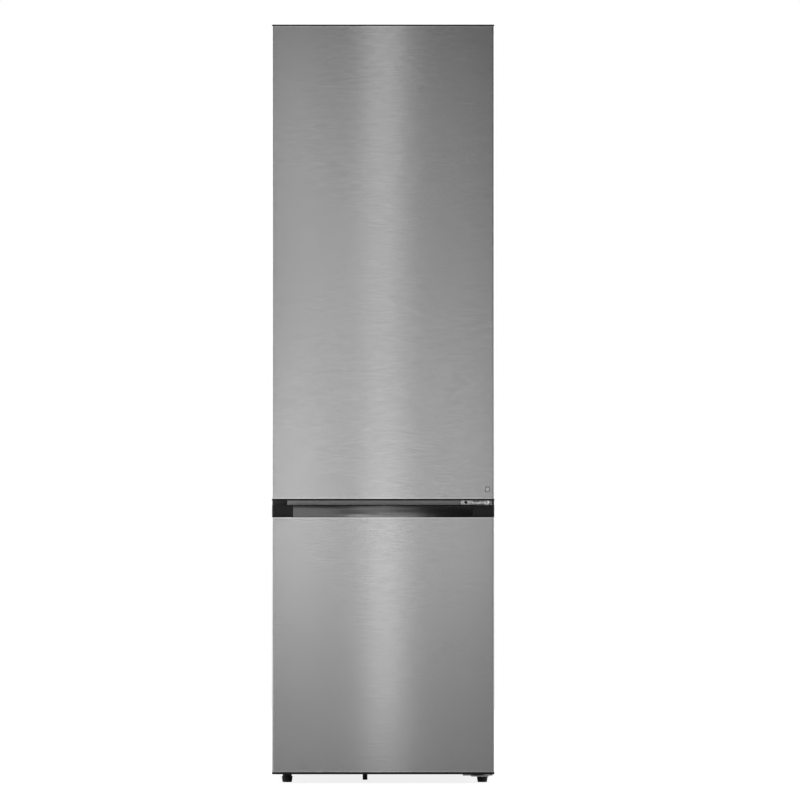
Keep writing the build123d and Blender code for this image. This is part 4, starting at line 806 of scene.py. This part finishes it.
# %% [markdown]
# ## Lamps
#
# The steel shows each lamp as a tall soft band, because brushing spreads every reflection up and
# down. The photograph's steel is brightest at the height of the gap between the doors, brighter at
# the left than at the right, and has a soft bright band down the middle. So a wall of small panels
# stands in front of the doors, four columns wide, each panel with its own power, and narrow strips
# nearer to the doors draw the middle band.

# %% Wall of panels and strips
def panel_lamp(name, place, direction, size, power):
    """Rectangular lamp of the given width and height that shines in one direction."""
    data = bpy.data.lights.new(name, "AREA")
    data.shape = "RECTANGLE"
    data.size, data.size_y = size
    data.energy = power
    lamp = bpy.data.objects.new(name, data)
    lamp.location = place
    lamp.rotation_euler = Vector(direction).to_track_quat("-Z", "Y").to_euler()
    lamp.visible_camera = False
    bpy.context.collection.objects.link(lamp)


back = (0, 1, 0)
panel_wall_y = -2.6
rows = {  # bottom and top
    "knee": (0.50, 0.75),
    "hip": (0.75, 0.95),
    "chest": (0.95, 1.20),
    "head": (1.20, 1.60),
    "top": (1.60, 2.10),
}
columns = {  # middle and width
    "left": (-0.30, 0.20),
    "mid_left": (-0.125, 0.15),
    "mid_right": (0.125, 0.15),
    "right": (0.30, 0.20),
}
powers_of_columns = {
    "left": {"knee": 0.41, "hip": 0.40, "head": 0.15, "top": 0.41},
    "mid_left": {"knee": 0.29, "chest": 0.12, "head": 0.17, "top": 0.15},
    "mid_right": {"knee": 0.28, "chest": 0.18, "head": 0.03, "top": 0.16},
    "right": {"knee": 0.30, "hip": 0.11, "chest": 0.15, "head": 0.08, "top": 0.18},
}
for column, powers in powers_of_columns.items():
    middle_x, panel_width = columns[column]
    for row, power in powers.items():
        bottom, top = rows[row]
        place = (middle_x, panel_wall_y, (bottom + top) / 2)
        panel_lamp(f"panel_{column}_{row}", place, back, (panel_width, top - bottom), power)

strip_width = 0.10
strips = {  # y, bottom, top and power
    "strip": (-1.60, 0.05, 2.6, 0.55),
    "low_strip": (-1.57, 0.05, 0.9, 0.10),
    "high_strip": (-1.63, 1.4, 2.6, 0.06),
}
for name, (strip_y, bottom, top, power) in strips.items():
    panel_lamp(name, (0.0, strip_y, (bottom + top) / 2), back, (strip_width, top - bottom), power)
print(f"{len(bpy.data.lights)} lamps in front of the doors")

# %% [markdown]
# Two banks at an angle light the doors' rounded edges. Larger panels at the sides, above and behind
# light everything that the front view doesn't show.

# %% Banks and large panels
large_panels = {  # place, direction, size and power
    "left_bank": ((-1.85, -1.85, 1.0), (0.65, 0.76, 0), (3.3, 2.0), 16.0),
    "right_bank": ((2.75, -1.3, 1.0), (-0.9, 0.43, 0), (1.6, 2.0), 6.0),
    "left_side_panel": ((-4.0, 0.4, 1.6), (1, 0, -0.15), (2.4, 2.4), 40.0),
    "right_side_panel": ((4.0, 0.4, 1.6), (-1, 0, -0.15), (2.4, 2.4), 30.0),
    "rear_panel": ((0.0, 4.0, 1.6), (0, -1, -0.15), (2.4, 2.4), 40.0),
    "top_panel": ((0.0, 0.2, 5.0), (0, 0, -1), (3.0, 3.0), 60.0),
}
for name, (place, direction, size, power) in large_panels.items():
    panel_lamp(name, place, direction, size, power)
print(f"{len(bpy.data.lights)} lamps")
